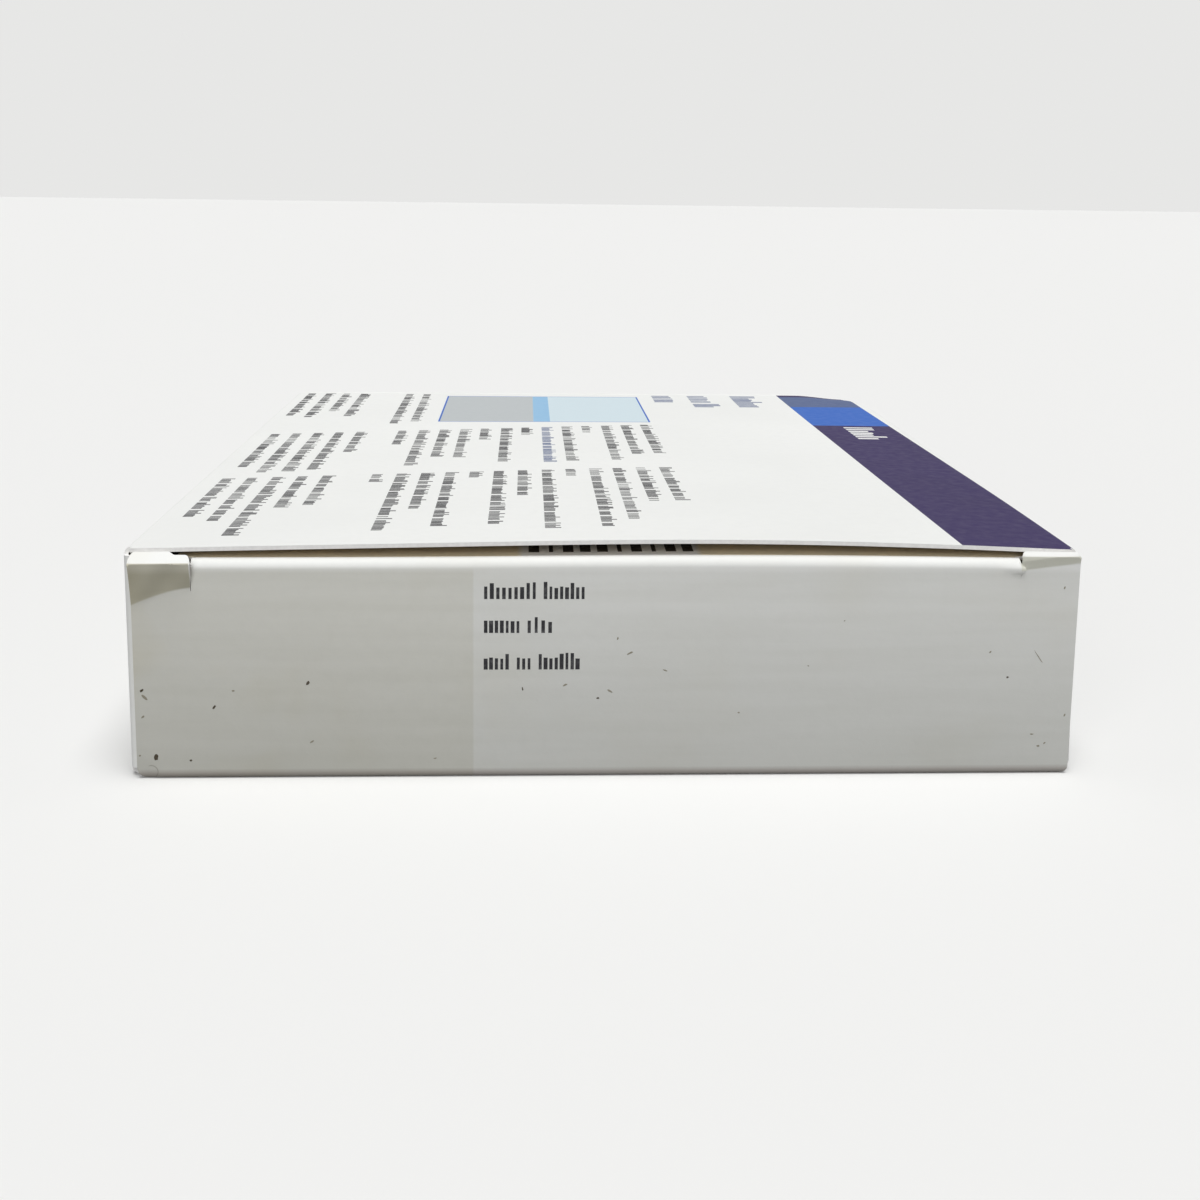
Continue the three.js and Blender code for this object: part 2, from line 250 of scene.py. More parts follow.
class BoardColours(bpy.types.PropertyGroup):
    """Colours of the board, its print and the contents."""

    white: FloatVectorProperty(name="White face", description="Coated outer face", subtype="COLOR",
                               size=3, default=(0.885, 0.892, 0.872))
    raw: FloatVectorProperty(name="Bare inner face", description="Uncoated brown back of the board",
                             subtype="COLOR", size=3, default=(0.55, 0.42, 0.26))
    edge: FloatVectorProperty(name="Cut edge", description="Where the board was cut", subtype="COLOR",
                              size=3, default=(0.95, 0.945, 0.925))
    band: FloatVectorProperty(name="Band", description="Long violet band", subtype="COLOR",
                              size=3, default=(0.028, 0.016, 0.082))
    blue: FloatVectorProperty(name="Blue field", description="Blue field in the band", subtype="COLOR",
                              size=3, default=(0.034, 0.13, 0.49))
    slate: FloatVectorProperty(name="Slate field", description="Grey-blue field in the band", subtype="COLOR",
                               size=3, default=(0.085, 0.12, 0.24))
    pale: FloatVectorProperty(name="Pale field", description="Upper part of the outlined panel",
                              subtype="COLOR", size=3, default=(0.64, 0.75, 0.80))
    pale_deep: FloatVectorProperty(name="Deep pale field", description="Stripe of the outlined panel",
                                   subtype="COLOR", size=3, default=(0.30, 0.52, 0.74))
    grey: FloatVectorProperty(name="Grey field", description="Lower part of the outlined panel",
                              subtype="COLOR", size=3, default=(0.50, 0.53, 0.54))
    text: FloatVectorProperty(name="Stroke ink", description="Ink of the rows of strokes", subtype="COLOR",
                              size=3, default=(0.030, 0.030, 0.034))
    bars: FloatVectorProperty(name="Bar ink", description="Ink of the bars on the tongue", subtype="COLOR",
                              size=3, default=(0.035, 0.03, 0.025))
    foil: FloatVectorProperty(name="Foil", description="Aluminium foil", subtype="COLOR",
                              size=3, default=(0.78, 0.79, 0.81))
    paper: FloatVectorProperty(name="Leaflet", description="Leaflet paper", subtype="COLOR",
                               size=3, default=(0.86, 0.86, 0.83))


class StageSettings(bpy.types.PropertyGroup):
    """The camera, the lamps and the floor."""

    lens: FloatProperty(name="Lens", description="Focal length in millimetres", default=45.15)
    camera_x: FloatProperty(name="Camera X", description="Camera place across the carton",
                            default=-8.05 * MM, unit="LENGTH")
    camera_back: FloatProperty(name="Camera back", description="Distance from the near end to the camera",
                               default=135.93 * MM, unit="LENGTH")
    camera_z: FloatProperty(name="Camera Z", description="Height of the camera",
                            default=54.97 * MM, unit="LENGTH")
    yaw: FloatProperty(name="Yaw", description="Turn to the right",
                       default=math.radians(2.88), subtype="ANGLE")
    pitch: FloatProperty(name="Pitch", description="Tilt downwards",
                         default=math.radians(9.408), subtype="ANGLE")
    roll: FloatProperty(name="Roll", description="Turn about the line of sight",
                        default=math.radians(0.755), subtype="ANGLE")
    shift_y: FloatProperty(name="Shift", description="Vertical shift of the view", default=-0.1333)
    high_lamp: FloatProperty(name="High lamp", description="Strength of the broad lamp overhead",
                             default=2.16)
    front_lamp: FloatProperty(name="Front lamp", description="Strength of the broad lamp by the camera",
                              default=1.12)
    sky: FloatProperty(name="Sky", description="Strength of the even light", default=0.20)
    backdrop: FloatProperty(name="Backdrop", description="How bright the camera sees the backdrop",
                            default=0.80)
    floor: FloatVectorProperty(name="Floor", description="Colour of the floor", subtype="COLOR",
                               size=3, default=(0.875, 0.875, 0.865))


def sizes():
    return bpy.context.scene.carton_sizes


def prints():
    return bpy.context.scene.carton_prints


def colours():
    return bpy.context.scene.carton_colours


# Materials


class Surface:
    """A principled material and short calls for its node tree."""

    def __init__(self, name, roughness, metallic=0.0, specular=0.18):
        self.material = bpy.data.materials.new(name)
        self.material.use_nodes = True
        self.tree = self.material.node_tree
        self.shader = self.tree.nodes["Principled BSDF"]
        self.shader.inputs["Roughness"].default_value = roughness
        self.shader.inputs["Metallic"].default_value = metallic
        self.shader.inputs["Specular IOR Level"].default_value = specular
        self.place = self.node("ShaderNodeTexCoord").outputs["Object"]

    def node(self, kind, **settings):
        made = self.tree.nodes.new(kind)
        for key, value in settings.items():
            setattr(made, key, value)
        return made

    def link(self, source, target):
        self.tree.links.new(source, target)

    def math(self, operation, first, second=0.0):
        made = self.node("ShaderNodeMath", operation=operation)
        for socket, value in zip(made.inputs, (first, second)):
            if isinstance(value, (int, float)):
                socket.default_value = value
            else:
                self.link(value, socket)
        return made.outputs[0]

    def noise(self, scale, detail=3.0, stretch=(1, 1, 1)):
        mapping = self.node("ShaderNodeMapping")
        mapping.inputs["Scale"].default_value = stretch
        self.link(self.place, mapping.inputs["Vector"])
        made = self.node("ShaderNodeTexNoise")
        made.inputs["Scale"].default_value = scale
        made.inputs["Detail"].default_value = detail
        self.link(mapping.outputs[0], made.inputs["Vector"])
        return made.outputs["Fac"]

    def spread(self, value, low, high, to_low=0.0, to_high=1.0):
        made = self.node("ShaderNodeMapRange")
        self.link(value, made.inputs["Value"])
        made.inputs["From Min"].default_value = low
        made.inputs["From Max"].default_value = high
        made.inputs["To Min"].default_value = to_low
        made.inputs["To Max"].default_value = to_high
        return made.outputs["Result"]

    def mix(self, amount, first, second, blend="MIX"):
        made = self.node("ShaderNodeMix", data_type="RGBA", blend_type=blend)
        sockets = (made.inputs["Factor"], made.inputs[6], made.inputs[7])
        for socket, value in zip(sockets, (amount, first, second)):
            if isinstance(value, bpy.types.NodeSocket):
                self.link(value, socket)
            elif isinstance(value, (int, float)):
                socket.default_value = value
            else:
                socket.default_value = (*value, 1.0)
        return made.outputs[2]

    def tint(self, amount, base, tone):
        """Multiplies the base by a tone, as far as the amount says."""
        return self.mix(amount, base, self.mix(1.0, base, tone, "MULTIPLY"))

    def axis(self, index):
        split = self.node("ShaderNodeSeparateXYZ")
        self.link(self.place, split.inputs[0])
        return split.outputs[index]

    def within(self, value, low, high, soft=0.03 * MM):
        above = self.spread(value, low - soft, low + soft)
        below = self.spread(value, high - soft, high + soft, 1.0, 0.0)
        return self.math("MULTIPLY", above, below)

    def bump(self, height, distance, strength=1.0):
        made = self.node("ShaderNodeBump")
        made.inputs["Distance"].default_value = distance
        made.inputs["Strength"].default_value = strength
        self.link(height, made.inputs["Height"])
        self.link(made.outputs[0], self.shader.inputs["Normal"])

    def colour(self, value):
        self.link(value, self.shader.inputs["Base Color"])
        return self.material

    def roughness(self, value):
        self.link(value, self.shader.inputs["Roughness"])


def coated_white(surface, white):
    """White coated board: faint cloudiness, finer mottling and a smooth calendered skin."""
    cloud = surface.noise(38.0, 2.0)
    mottle = surface.noise(900.0, 4.0)
    toned = surface.mix(surface.spread(cloud, 0.3, 0.7), white, [c * 0.965 for c in white])
    toned = surface.mix(surface.spread(mottle, 0.45, 0.8, 0.0, 0.5), toned, [c * 0.95 for c in white])
    surface.roughness(surface.spread(mottle, 0.3, 0.7, 0.55, 0.66))
    surface.bump(surface.noise(2600.0, 3.0), 0.012 * MM, 0.6)
    return toned


def carton_face():
    """Outer face of the tube, with the fields of colour printed on its top panel."""
    tones = colours()
    surface = Surface("coated_board_with_print", 0.45)
    x, y, z = (surface.axis(index) for index in range(3))
    on_top = surface.math("MULTIPLY", surface.spread(z, PANEL_TOP - 1.25 * MM, PANEL_TOP - 1.2 * MM),
                          surface.spread(y, CUT_EDGE_Y + 0.01 * MM, CUT_EDGE_Y + 0.02 * MM))
    result = coated_white(surface, tones.white)

    def field(base, tone, x0, x1, y0, y1):
        across = surface.within(x, x0 * MM, x1 * MM)
        along = surface.within(y, y0 * MM, y1 * MM)
        mask = surface.math("MULTIPLY", across, along)
        return surface.mix(surface.math("MULTIPLY", mask, on_top), base, tone)

    ink_cloud = surface.spread(surface.noise(70.0, 3.0), 0.3, 0.7)
    band = surface.mix(ink_cloud, tones.band, [c * 0.86 for c in tones.band])
    result = field(result, band, BAND_X0, BAND_X1, -BAND_END, BAND_END)
    result = field(result, tones.slate, BAND_X0, BAND_X1, SLATE_Y0, SLATE_Y1)
    result = field(result, tones.blue, BAND_X0, BAND_X1, BLUE_Y0, SLATE_Y0)
    result = field(result, tones.blue, PALE_X0 - PALE_OUTLINE, PALE_X1 + PALE_OUTLINE,
                   PALE_Y0 - PALE_OUTLINE, PALE_Y1 + PALE_OUTLINE)
    result = field(result, tones.grey, PALE_X0, PALE_X1, PALE_Y0, PALE_Y1)
    result = field(result, tones.pale, PALE_MID_X, PALE_X1, PALE_Y0, PALE_Y1)
    result = field(result, tones.pale_deep, PALE_MID_X, PALE_MID_X + PALE_STRIPE, PALE_Y0, PALE_Y1)
    return surface.colour(result)


def crease_nodes(surface, share, crease):
    """A shoulder's crease height over its width, in nodes."""
    inner, drop, power = crease
    lowered = surface.math("MULTIPLY", surface.math("POWER", share, power), drop)
    return surface.math("SUBTRACT", inner, lowered)


def at_near_end(surface):
    """1 on the near half of the carton and 0 on the far half, where the near end's wear and painted shade
    aren't repeated.
    """
    return surface.spread(surface.axis(1), MID_Y - 1 * MM, MID_Y + 1 * MM, 1.0, 0.0)


def hooked_crease_shade(surface, base, x, z, near_end):
    """A small curved crease by the lower left corner, painted as a fine dark line of shade."""
    across = surface.math("SUBTRACT", x, HOOK_X)
    up = surface.math("SUBTRACT", z, HOOK_Z)
    away = surface.math("SQRT", surface.math("ADD", surface.math("MULTIPLY", across, across),
                                             surface.math("MULTIPLY", up, up)))
    line = surface.math("MULTIPLY", surface.within(away, HOOK_INNER, HOOK_OUTER, 0.04 * MM),
                        surface.spread(across, -0.3 * MM, -0.1 * MM))
    line = surface.math("MULTIPLY", line, near_end)
    return surface.mix(surface.math("MULTIPLY", line, 0.75), base, CREASE_SHADE_TONE)


def end_face():
    """Outer face of an end flap: handled board with fine streaks and light dirt, partly bare of varnish, with
    painted shade towards the bottom, on the leaning shoulders and in a hooked crease.
    """
    tones = colours()
    surface = Surface("coated_board_end", 0.5)
    base = coated_white(surface, tones.white)
    x, z = surface.axis(0), surface.axis(2)
    near_end = at_near_end(surface)
    below_fold = surface.spread(z, FOLD_AXIS.z - 0.35 * MM, FOLD_AXIS.z + 0.3 * MM, 1.0, 0.0)
    base = surface.tint(below_fold, base, HANDLED_TONE)
    bare = surface.spread(x, (UNCOATED_X - 0.1) * MM, (UNCOATED_X + 0.1) * MM, 1.0, 0.0)
    bare = surface.math("MULTIPLY", bare, near_end)
    base = surface.tint(surface.math("MULTIPLY", bare, below_fold), base, BARE_TONE)
    streaks = surface.noise(150.0, 5.0, (0.35, 1.0, 5.0))
    base = surface.tint(surface.spread(streaks, 0.35, 0.7, 0.0, 0.8), base, STREAK_TONE)
    smudge = surface.math("MULTIPLY", surface.spread(surface.noise(75.0, 3.0), 0.50, 0.72),
                          surface.spread(x, -45 * MM, -20 * MM, 1.0, 0.25))
    base = surface.tint(smudge, base, SMUDGE_TONE)
    # Painted shade: the face is darkened towards the bottom, standing in for the light that falls off near
    # the floor
    base = surface.tint(surface.spread(z, 1 * MM, 17 * MM, 1.0, 0.0), base, LOW_SHADE_TONE)
    # Darker still along the foot of the flap, just above the floor
    base = surface.tint(surface.spread(z, 0.5 * MM, 0.95 * MM, 1.0, 0.0), base, FOOT_TONE)
    # Painted shade on each shoulder's face, between its crease and its rolled-back top, where the face leans
    # out and turns down from the light
    width = FLAP_HALF - SLIT_TOP_HALF
    for side, crease, top, tone in ((-1, LEFT_CREASE, LEFT_ROLL_Z, LEFT_SHOULDER_SHADE_TONE),
                                    (1, RIGHT_CREASE, RIGHT_ROLL_Z, RIGHT_SHOULDER_SHADE_TONE)):
        from_slit = surface.math("SUBTRACT", surface.math("MULTIPLY", x, side), SLIT_TOP_HALF)
        share = surface.math("DIVIDE", from_slit, width)
        above = surface.math("SUBTRACT", z, crease_nodes(surface, share, crease))
        shoulder_shade = surface.math("MULTIPLY", surface.spread(above, -0.08 * MM, 0.12 * MM),
                              surface.spread(z, top, top + 0.08 * MM, 1.0, 0.0))
        shoulder_shade = surface.math("MULTIPLY", shoulder_shade, surface.spread(share, -0.004, 0.004))
        shoulder_shade = surface.math("MULTIPLY", shoulder_shade, near_end)
        base = surface.tint(shoulder_shade, base, tone)
    base = hooked_crease_shade(surface, base, x, z, near_end)
    return surface.colour(base)


def tongue_face():
    """Outer face of a tongue: coated board that has yellowed, with the brown light bounced from the top
    panel's bare underside painted in, beside the near one's white label patch.
    """
    tones = colours()
    surface = Surface("coated_board_tongue", 0.55)
    base = coated_white(surface, tones.white)
    # Partly yellowing and partly painted brown bounce light from the bare underside of the top panel
    yellowed_and_bounce = surface.mix(1.0, base, YELLOWED_AND_BOUNCE_TONE, "MULTIPLY")
    patch = surface.math("MULTIPLY", surface.within(surface.axis(0), LABEL_X0, LABEL_X1, 0.3 * MM),
                         at_near_end(surface))
    return surface.colour(surface.mix(patch, yellowed_and_bounce, base))


def raw_board():
    """Bare brown back of the board, with long fibres."""
    tones = colours()
    surface = Surface("bare_board", 0.85)
    fibres = surface.noise(900.0, 5.0, (1.0, 0.22, 1.0))
    flecks = surface.noise(3800.0, 2.0)
    base = surface.mix(surface.spread(fibres, 0.3, 0.7), tones.raw, [c * 0.72 for c in tones.raw])
    pale = [min(1.0, c * 1.9) for c in tones.raw]
    base = surface.mix(surface.spread(flecks, 0.62, 0.75, 0.0, 0.4), base, pale)
    surface.bump(fibres, 0.04 * MM, 0.7)
    return surface.colour(base)


def cut_edge():
    """Cut edge of the board, whitish and fibrous."""
    tones = colours()
    surface = Surface("cut_edge", 0.8)
    layers = surface.noise(2400.0, 4.0)
    base = surface.mix(surface.spread(layers, 0.35, 0.65), tones.edge, [c * 0.93 for c in tones.edge])
    surface.bump(layers, 0.03 * MM, 0.8)
    return surface.colour(base)


def ink(name, tone):
    """Printing ink that lets a little of the board's mottling through."""
    surface = Surface(name, 0.5)
    wear = surface.noise(2200.0, 3.0)
    lighter = [c + 0.12 * (1 - c) for c in tone]
    return surface.colour(surface.mix(surface.spread(wear, 0.5, 0.75, 0.0, 0.6), tone, lighter))


def foil():
    """Rolled aluminium foil with fine rolling lines."""
    tones = colours()
    surface = Surface("rolled_foil", 0.32, 1.0)
    lines = surface.noise(1500.0, 3.0, (1.0, 0.04, 1.0))
    surface.roughness(surface.spread(lines, 0.3, 0.7, 0.26, 0.42))
    surface.bump(lines, 0.01 * MM, 0.6)
    dull = [c * 0.9 for c in tones.foil]
    return surface.colour(surface.mix(surface.spread(lines, 0.3, 0.7), tones.foil, dull))


def leaflet_paper():
    """Thin uncoated leaflet paper."""
    tones = colours()
    surface = Surface("leaflet_paper", 0.8)
    fibres = surface.noise(1400.0, 4.0)
    surface.bump(fibres, 0.02 * MM, 0.6)
    shaded = [c * 0.93 for c in tones.paper]
    return surface.colour(surface.mix(surface.spread(fibres, 0.3, 0.7), tones.paper, shaded))


MATERIAL_MAKERS = {
    "coated_board_with_print": carton_face,
    "coated_board_end": end_face,
    "coated_board_tongue": tongue_face,
    "bare_board": raw_board,
    "cut_edge": cut_edge,
    "rolled_foil": foil,
    "leaflet_paper": leaflet_paper,
}


def finish_of(name):
    """The named material, made once."""
    return bpy.data.materials.get(name) or MATERIAL_MAKERS[name]()


# Sheets of board


class Sheet:
    """The outer face of a piece of board, as rows of points that share their ends."""

    def __init__(self):
        self.points = []
        self.faces = []

    def row(self, points):
        start = len(self.points)
        self.points.extend(points)
        return list(range(start, len(self.points)))

    def bridge(self, lower, upper):
        for index in range(len(lower) - 1):
            self.faces.append((lower[index], lower[index + 1], upper[index + 1], upper[index]))

    def rows(self, first, rows):
        """Bridges from a row that exists through new rows of as many points."""
        last = first
        for points in rows:
            new = self.row(points)
            self.bridge(last, new)
            last = new
        return last


def mesh_object(name, points, faces, materials):
    mesh = bpy.data.meshes.new(name)
    mesh.from_pydata([tuple(p) for p in points], [], faces)
    for material in materials:
        mesh.materials.append(material)
    made = bpy.data.objects.new(name, mesh)
    bpy.context.scene.collection.objects.link(made)
    return made


def object_from(work, name, *materials):
    """A new object in the scene with a bmesh's faces, which is freed."""
    mesh = bpy.data.meshes.new(name)
    work.to_mesh(mesh)
    work.free()
    for material in materials:
        mesh.materials.append(material)
    made = bpy.data.objects.new(name, mesh)
    bpy.context.scene.collection.objects.link(made)
    return made


def remesh_from_modifiers(made):
    """Replaces an object's mesh by what its modifiers make of it, and removes them."""
    bpy.context.view_layer.update()
    depsgraph = bpy.context.evaluated_depsgraph_get()
    mesh = bpy.data.meshes.new_from_object(made.evaluated_get(depsgraph))
    old = made.data
    made.modifiers.clear()
    made.data = mesh
    bpy.data.meshes.remove(old)
    mesh.name = made.name
    return made


def smooth(made, angle=40.0):
    made.data.polygons.foreach_set("use_smooth", [True] * len(made.data.polygons))
    made.data.set_sharp_from_angle(angle=math.radians(angle))


def board_from_sheet(name, sheet, outer_material):
    """Gives a sheet the board's thickness, a bare back, pale cut edges and softened corners."""
    made = mesh_object(name, sheet.points, sheet.faces,
                       [outer_material, finish_of("bare_board"), finish_of("cut_edge")])
    thickness = made.modifiers.new("Thickness", "SOLIDIFY")
    thickness.thickness = sizes().board
    thickness.offset = -1.0
    thickness.use_even_offset = True
    thickness.material_offset = 1
    thickness.material_offset_rim = 2
    bevel = made.modifiers.new("Edges", "BEVEL")
    bevel.width = sizes().edge_bevel
    bevel.segments = 1
    bevel.limit_method = "ANGLE"
    bevel.angle_limit = math.radians(60)
    remesh_from_modifiers(made)
    smooth(made)
    return made


def join_into(target, *others):
    """Joins other objects' meshes into the target's."""
    joined = bmesh.new()
    slots = list(target.data.materials)
    indices = []
    for part in (target, *others):
        mesh = part.data.copy()
        mesh.transform(part.matrix_world)
        lookup = []
        for material in mesh.materials:
            if material not in slots:
                slots.append(material)
            lookup.append(slots.index(material))
        indices.extend(lookup[polygon.material_index] for polygon in mesh.polygons)
        joined.from_mesh(mesh)
        bpy.data.meshes.remove(mesh)
    joined.to_mesh(target.data)
    joined.free()
    target.data.materials.clear()
    for material in slots:
        target.data.materials.append(material)
    target.data.polygons.foreach_set("material_index", indices)
    for part in others:
        bpy.data.objects.remove(part)
    return target


def turn_to_far_end(made):
    """Turns a piece of the near end over into its place at the far end."""
    made.data.transform(FAR_END_TURN)
    return made


def steps(first, last, count):
    return [first + (last - first) * index / count for index in range(count + 1)]


def ease(value):
    value = min(1.0, max(0.0, value))
    return value * value * (3 - 2 * value)


# Carton


def lift_at(x):
    """How much of the extra lift right of the middle a place across the carton has, from 0 to 1."""
    across = min(1.0, abs(x) / TOP_REACH)
    return math.exp(-((x - LIFT_X) / LIFT_SPREAD) ** 2) * (1 - across ** 8)


def share_along(y):
    """How far along the carton a place is: 0 at the near end, 1 at the far one."""
    return (y - CARTON_LOW.y) / (CARTON_HIGH.y - CARTON_LOW.y)


def bow_at(x, y):
    """How far the top panel is pushed up at a place."""
    bow = BOW * max(0.0, 1 - (x / TOP_REACH) ** 2) + sizes().panel_lift * lift_at(x)
    return bow * (1 - min(1.0, max(0.0, share_along(y)))) ** 1.5


def right_edge_drift(x, y, z):
    """The upper right edge runs a little inwards at the near end and outwards towards the far one."""
    along = share_along(y)
    drift = DRIFT_NEAR + DRIFT_GAIN * min(along, DRIFT_FULL)
    drift *= 1 - ease((along - FADE_START) / FADE_LENGTH)
    return drift * ease((x - DRIFT_X) / DRIFT_REACH) * min(1.0, z / PANEL_TOP)


def corner_softening(x, y, z):
    """The far right corner of the top panel is knocked down a little."""
    away = Vector((x - HALF_WIDTH, y - FAR_HIGH.y, 0.6 * (z - PANEL_TOP))).length
    return KNOCK_DEPTH * ease(1 - away / KNOCK_REACH)


def let_right_edge_drift(made):
    for vertex in made.data.vertices:
        vertex.co.x += right_edge_drift(*vertex.co)
    return made


def knock_far_corner(made):
    """Softens the knocked corner on a finished piece, so that neighbours stay together."""
    for vertex in made.data.vertices:
        drop = corner_softening(*vertex.co)
        vertex.co -= Vector((0.5 * drop, 0.45 * drop, 0.7 * drop))
    return made


def tube_point(x, y, z):
    if z > PANEL_TOP / 2 and abs(x) < HALF_WIDTH - 0.5 * MM:
        z += bow_at(x, y)
    return Vector((x, y, z))


def arc_points(centre, radius, first, last, count):
    turns = steps(math.radians(first), math.radians(last), count)
    return [(centre[0] + radius * math.cos(turn), centre[1] + radius * math.sin(turn)) for turn in turns]


def wall_heights():
    """Heights at which a side wall has points: dust flap edges among them."""
    low, high, relief = DUST_MARGIN, PANEL_TOP - DUST_TOP_MARGIN, DUST_RELIEF_Z
    return [low] + steps(low, relief, 14)[1:] + steps(relief, high, 3)[1:]


# Places of the four walls among the parts of the section
BOTTOM, RIGHT, OVER, LEFT = 0, 2, 4, 6


def section_ring():
    """The tube's section as (x, z) points, in eight parts: each wall with the corner after it."""
    radius = sizes().edge_radius
    flat_x = HALF_WIDTH - radius
    top = PANEL_TOP
    heights = wall_heights()
    bottom = [(x, 0.0) for x in steps(-flat_x, flat_x, 40)]
    to_right = arc_points((flat_x, radius), radius, -90, 0, 6)[1:]
    right = [(HALF_WIDTH, z) for z in heights]
    to_top = arc_points((flat_x, top - radius), radius, 0, 90, 6)[:-1]
    over = [(x, top) for x in steps(flat_x, -flat_x, 60)]
    to_left = arc_points((-flat_x, top - radius), radius, 90, 180, 6)[1:]
    left = [(-HALF_WIDTH, z) for z in reversed(heights)]
    to_bottom = arc_points((-flat_x, radius), radius, 180, 270, 6)[:-1]
    return bottom, to_right, right, to_top, over, to_left, left, to_bottom


def dust_rows(side, fold_y):
    """Rows of a dust flap from its side wall's end round the fold to its tip, at the near end."""
    radius = sizes().edge_radius
    heights = wall_heights()
    tip = HALF_WIDTH - sizes().dust_reach
    centre_x = HALF_WIDTH - radius
    rows = []
    for turn in steps(0, math.pi / 2, 6)[1:]:
        x = centre_x + radius * math.cos(turn)
        y = fold_y - radius * math.sin(turn)
        rows.append([(side * x, y, z) for z in heights])
    relief_x = EAR_HALF + 0.3 * MM
    for x in steps(centre_x, relief_x, 3)[1:]:
        rows.append([(side * x, fold_y - radius, z) for z in heights])
    full = len(rows)
    tall = [z for z in heights if z <= DUST_RELIEF_Z + SAME_PLACE]
    for x in steps(relief_x, tip, 16)[1:]:
        share = (relief_x - x) / (relief_x - tip)
        low = DUST_MARGIN + DUST_TAPER * share
        high = DUST_RELIEF_Z
        to_tip = x - tip
        if to_tip < DUST_TIP_RADIUS:
            cut = DUST_TIP_RADIUS - math.sqrt(DUST_TIP_RADIUS ** 2 - (DUST_TIP_RADIUS - to_tip) ** 2)
            low += cut
            high -= cut
        rows.append([(side * x, fold_y - radius, low + (high - low) * (z - tall[0]) / (tall[-1] - tall[0]))
                     for z in tall])
    return rows, full, len(tall)


def add_dust_flap(sheet, wall_row, side, fold_y, place):
    """Runs a side wall's end row on round the fold and out to the tip, moved to its place."""
    rows, full, tall = dust_rows(side, fold_y)
    rows = [[place @ Vector(p) for p in row] for row in rows]
    last = sheet.rows(wall_row, rows[:full])
    sheet.rows(last[:tall], rows[full:])


def tube_sheet():
    """Outer face of the four walls, the top's run to its cut edge and the near dust flaps."""
    parts = section_ring()
    ring = [point for part in parts for point in part]
    part_of = [index for index, part in enumerate(parts) for _ in part]
    near_y = CUT_EDGE_Y + sizes().edge_radius
    far_y = 2 * MID_Y - near_y
    sheet = Sheet()
    ring_rows = []
    for y in steps(near_y, far_y, 56):
        ring_rows.append(sheet.row([tube_point(x, y, z) for x, z in ring]))
    for first, second in zip(ring_rows, ring_rows[1:]):
        for index in range(len(ring)):
            after = (index + 1) % len(ring)
            sheet.faces.append((first[index], first[after], second[after], second[index]))
    near, far = ring_rows[0], ring_rows[-1]

    def wall(row, wanted):
        return [index for index, part in zip(row, part_of) if part == wanted]

    over = parts[OVER][::-1]
    rows = [[tube_point(x, y, z) for x, z in over] for y in steps(near_y, CUT_EDGE_Y, 2)[1:]]
    sheet.rows(wall(near, OVER)[::-1], rows)
    under = parts[BOTTOM]
    rows = [[Vector((x, y, z)) for x, z in under] for y in steps(far_y, 2 * MID_Y - CUT_EDGE_Y, 2)[1:]]
    sheet.rows(wall(far, BOTTOM), rows)

    add_dust_flap(sheet, wall(near, RIGHT), 1, near_y, Matrix())
    add_dust_flap(sheet, wall(near, LEFT)[::-1], -1, near_y, Matrix())
    return sheet, wall(far, RIGHT), wall(far, LEFT)[::-1], far_y


def carton_board():
    sheet, far_right, far_left, far_y = tube_sheet()
    near_y = 2 * MID_Y - far_y
    # The far dust flaps are the near ones turned over, so their wall rows run from the top down.
    add_dust_flap(sheet, far_right[::-1], 1, near_y, FAR_END_TURN)
    add_dust_flap(sheet, far_left[::-1], -1, near_y, FAR_END_TURN)
    made = mesh_object("sheet_normals", sheet.points, sheet.faces, [])
    work = bmesh.new()
    work.from_mesh(made.data)
    bmesh.ops.remove_doubles(work, verts=work.verts, dist=SAME_PLACE)
    bmesh.ops.recalc_face_normals(work, faces=work.faces)
    top = max((f for f in work.faces if abs(f.normal.z) > 0.9), key=lambda f: f.calc_center_median().z)
    if top.normal.z < 0:
        bmesh.ops.reverse_faces(work, faces=work.faces)
    work.to_mesh(made.data)
    work.free()
    clean = Sheet()
    clean.points = [v.co.copy() for v in made.data.vertices]
    clean.faces = [tuple(p.vertices) for p in made.data.polygons]
    bpy.data.objects.remove(made)
    board = board_from_sheet("carton_board", clean, finish_of("coated_board_with_print"))
    join_into(board, seam_strip())
    smooth(board)
    return knock_far_corner(let_right_edge_drift(board))


def seam_strip():
    """The glued strip inside the left wall that closes the tube."""
    board = sizes().board
    x = -HALF_WIDTH + board + 0.02 * MM
    high = PANEL_TOP - sizes().edge_radius - board
    low = high - SEAM_WIDTH
    near = CUT_EDGE_Y + sizes().edge_radius + 1 * MM
    far = 2 * MID_Y - near
    sheet = Sheet()
    bottom = sheet.row([Vector((x, y, low)) for y in steps(near + SEAM_TAPER, far - SEAM_TAPER, 20)])
    sheet.rows(bottom, [[Vector((x, y, high)) for y in steps(near, far, 20)]])
    return board_from_sheet("seam_strip", oriented(sheet, Vector((-1, 0, 0))), finish_of("bare_board"))


class CARTON_OT_carton(bpy.types.Operator):
    """Builds the tube of four walls with its dust flaps and glued seam"""

    bl_idname = "carton.carton"
    bl_label = "Carton"

    def execute(self, context):
        made = carton_board()
        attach(made, "carton")
        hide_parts("carton")
        return {"FINISHED"}


# End flaps and tongues


def oriented(sheet, outward):
    """A sheet whose faces all point the way that the given one of them should."""
    work = bmesh.new()
    vertices = [work.verts.new(p) for p in sheet.points]
    for face in sheet.faces:
        work.faces.new([vertices[index] for index in face])
    bmesh.ops.recalc_face_normals(work, faces=work.faces)
    work.normal_update()
    vote = sum(face.normal.dot(outward) * face.calc_area() for face in work.faces)
    if vote < 0:
        bmesh.ops.reverse_faces(work, faces=work.faces)
    work.verts.index_update()
    clean = Sheet()
    clean.points = [v.co.copy() for v in work.verts]
    clean.faces = [tuple(v.index for v in face.verts) for face in work.faces]
    work.free()
    return clean


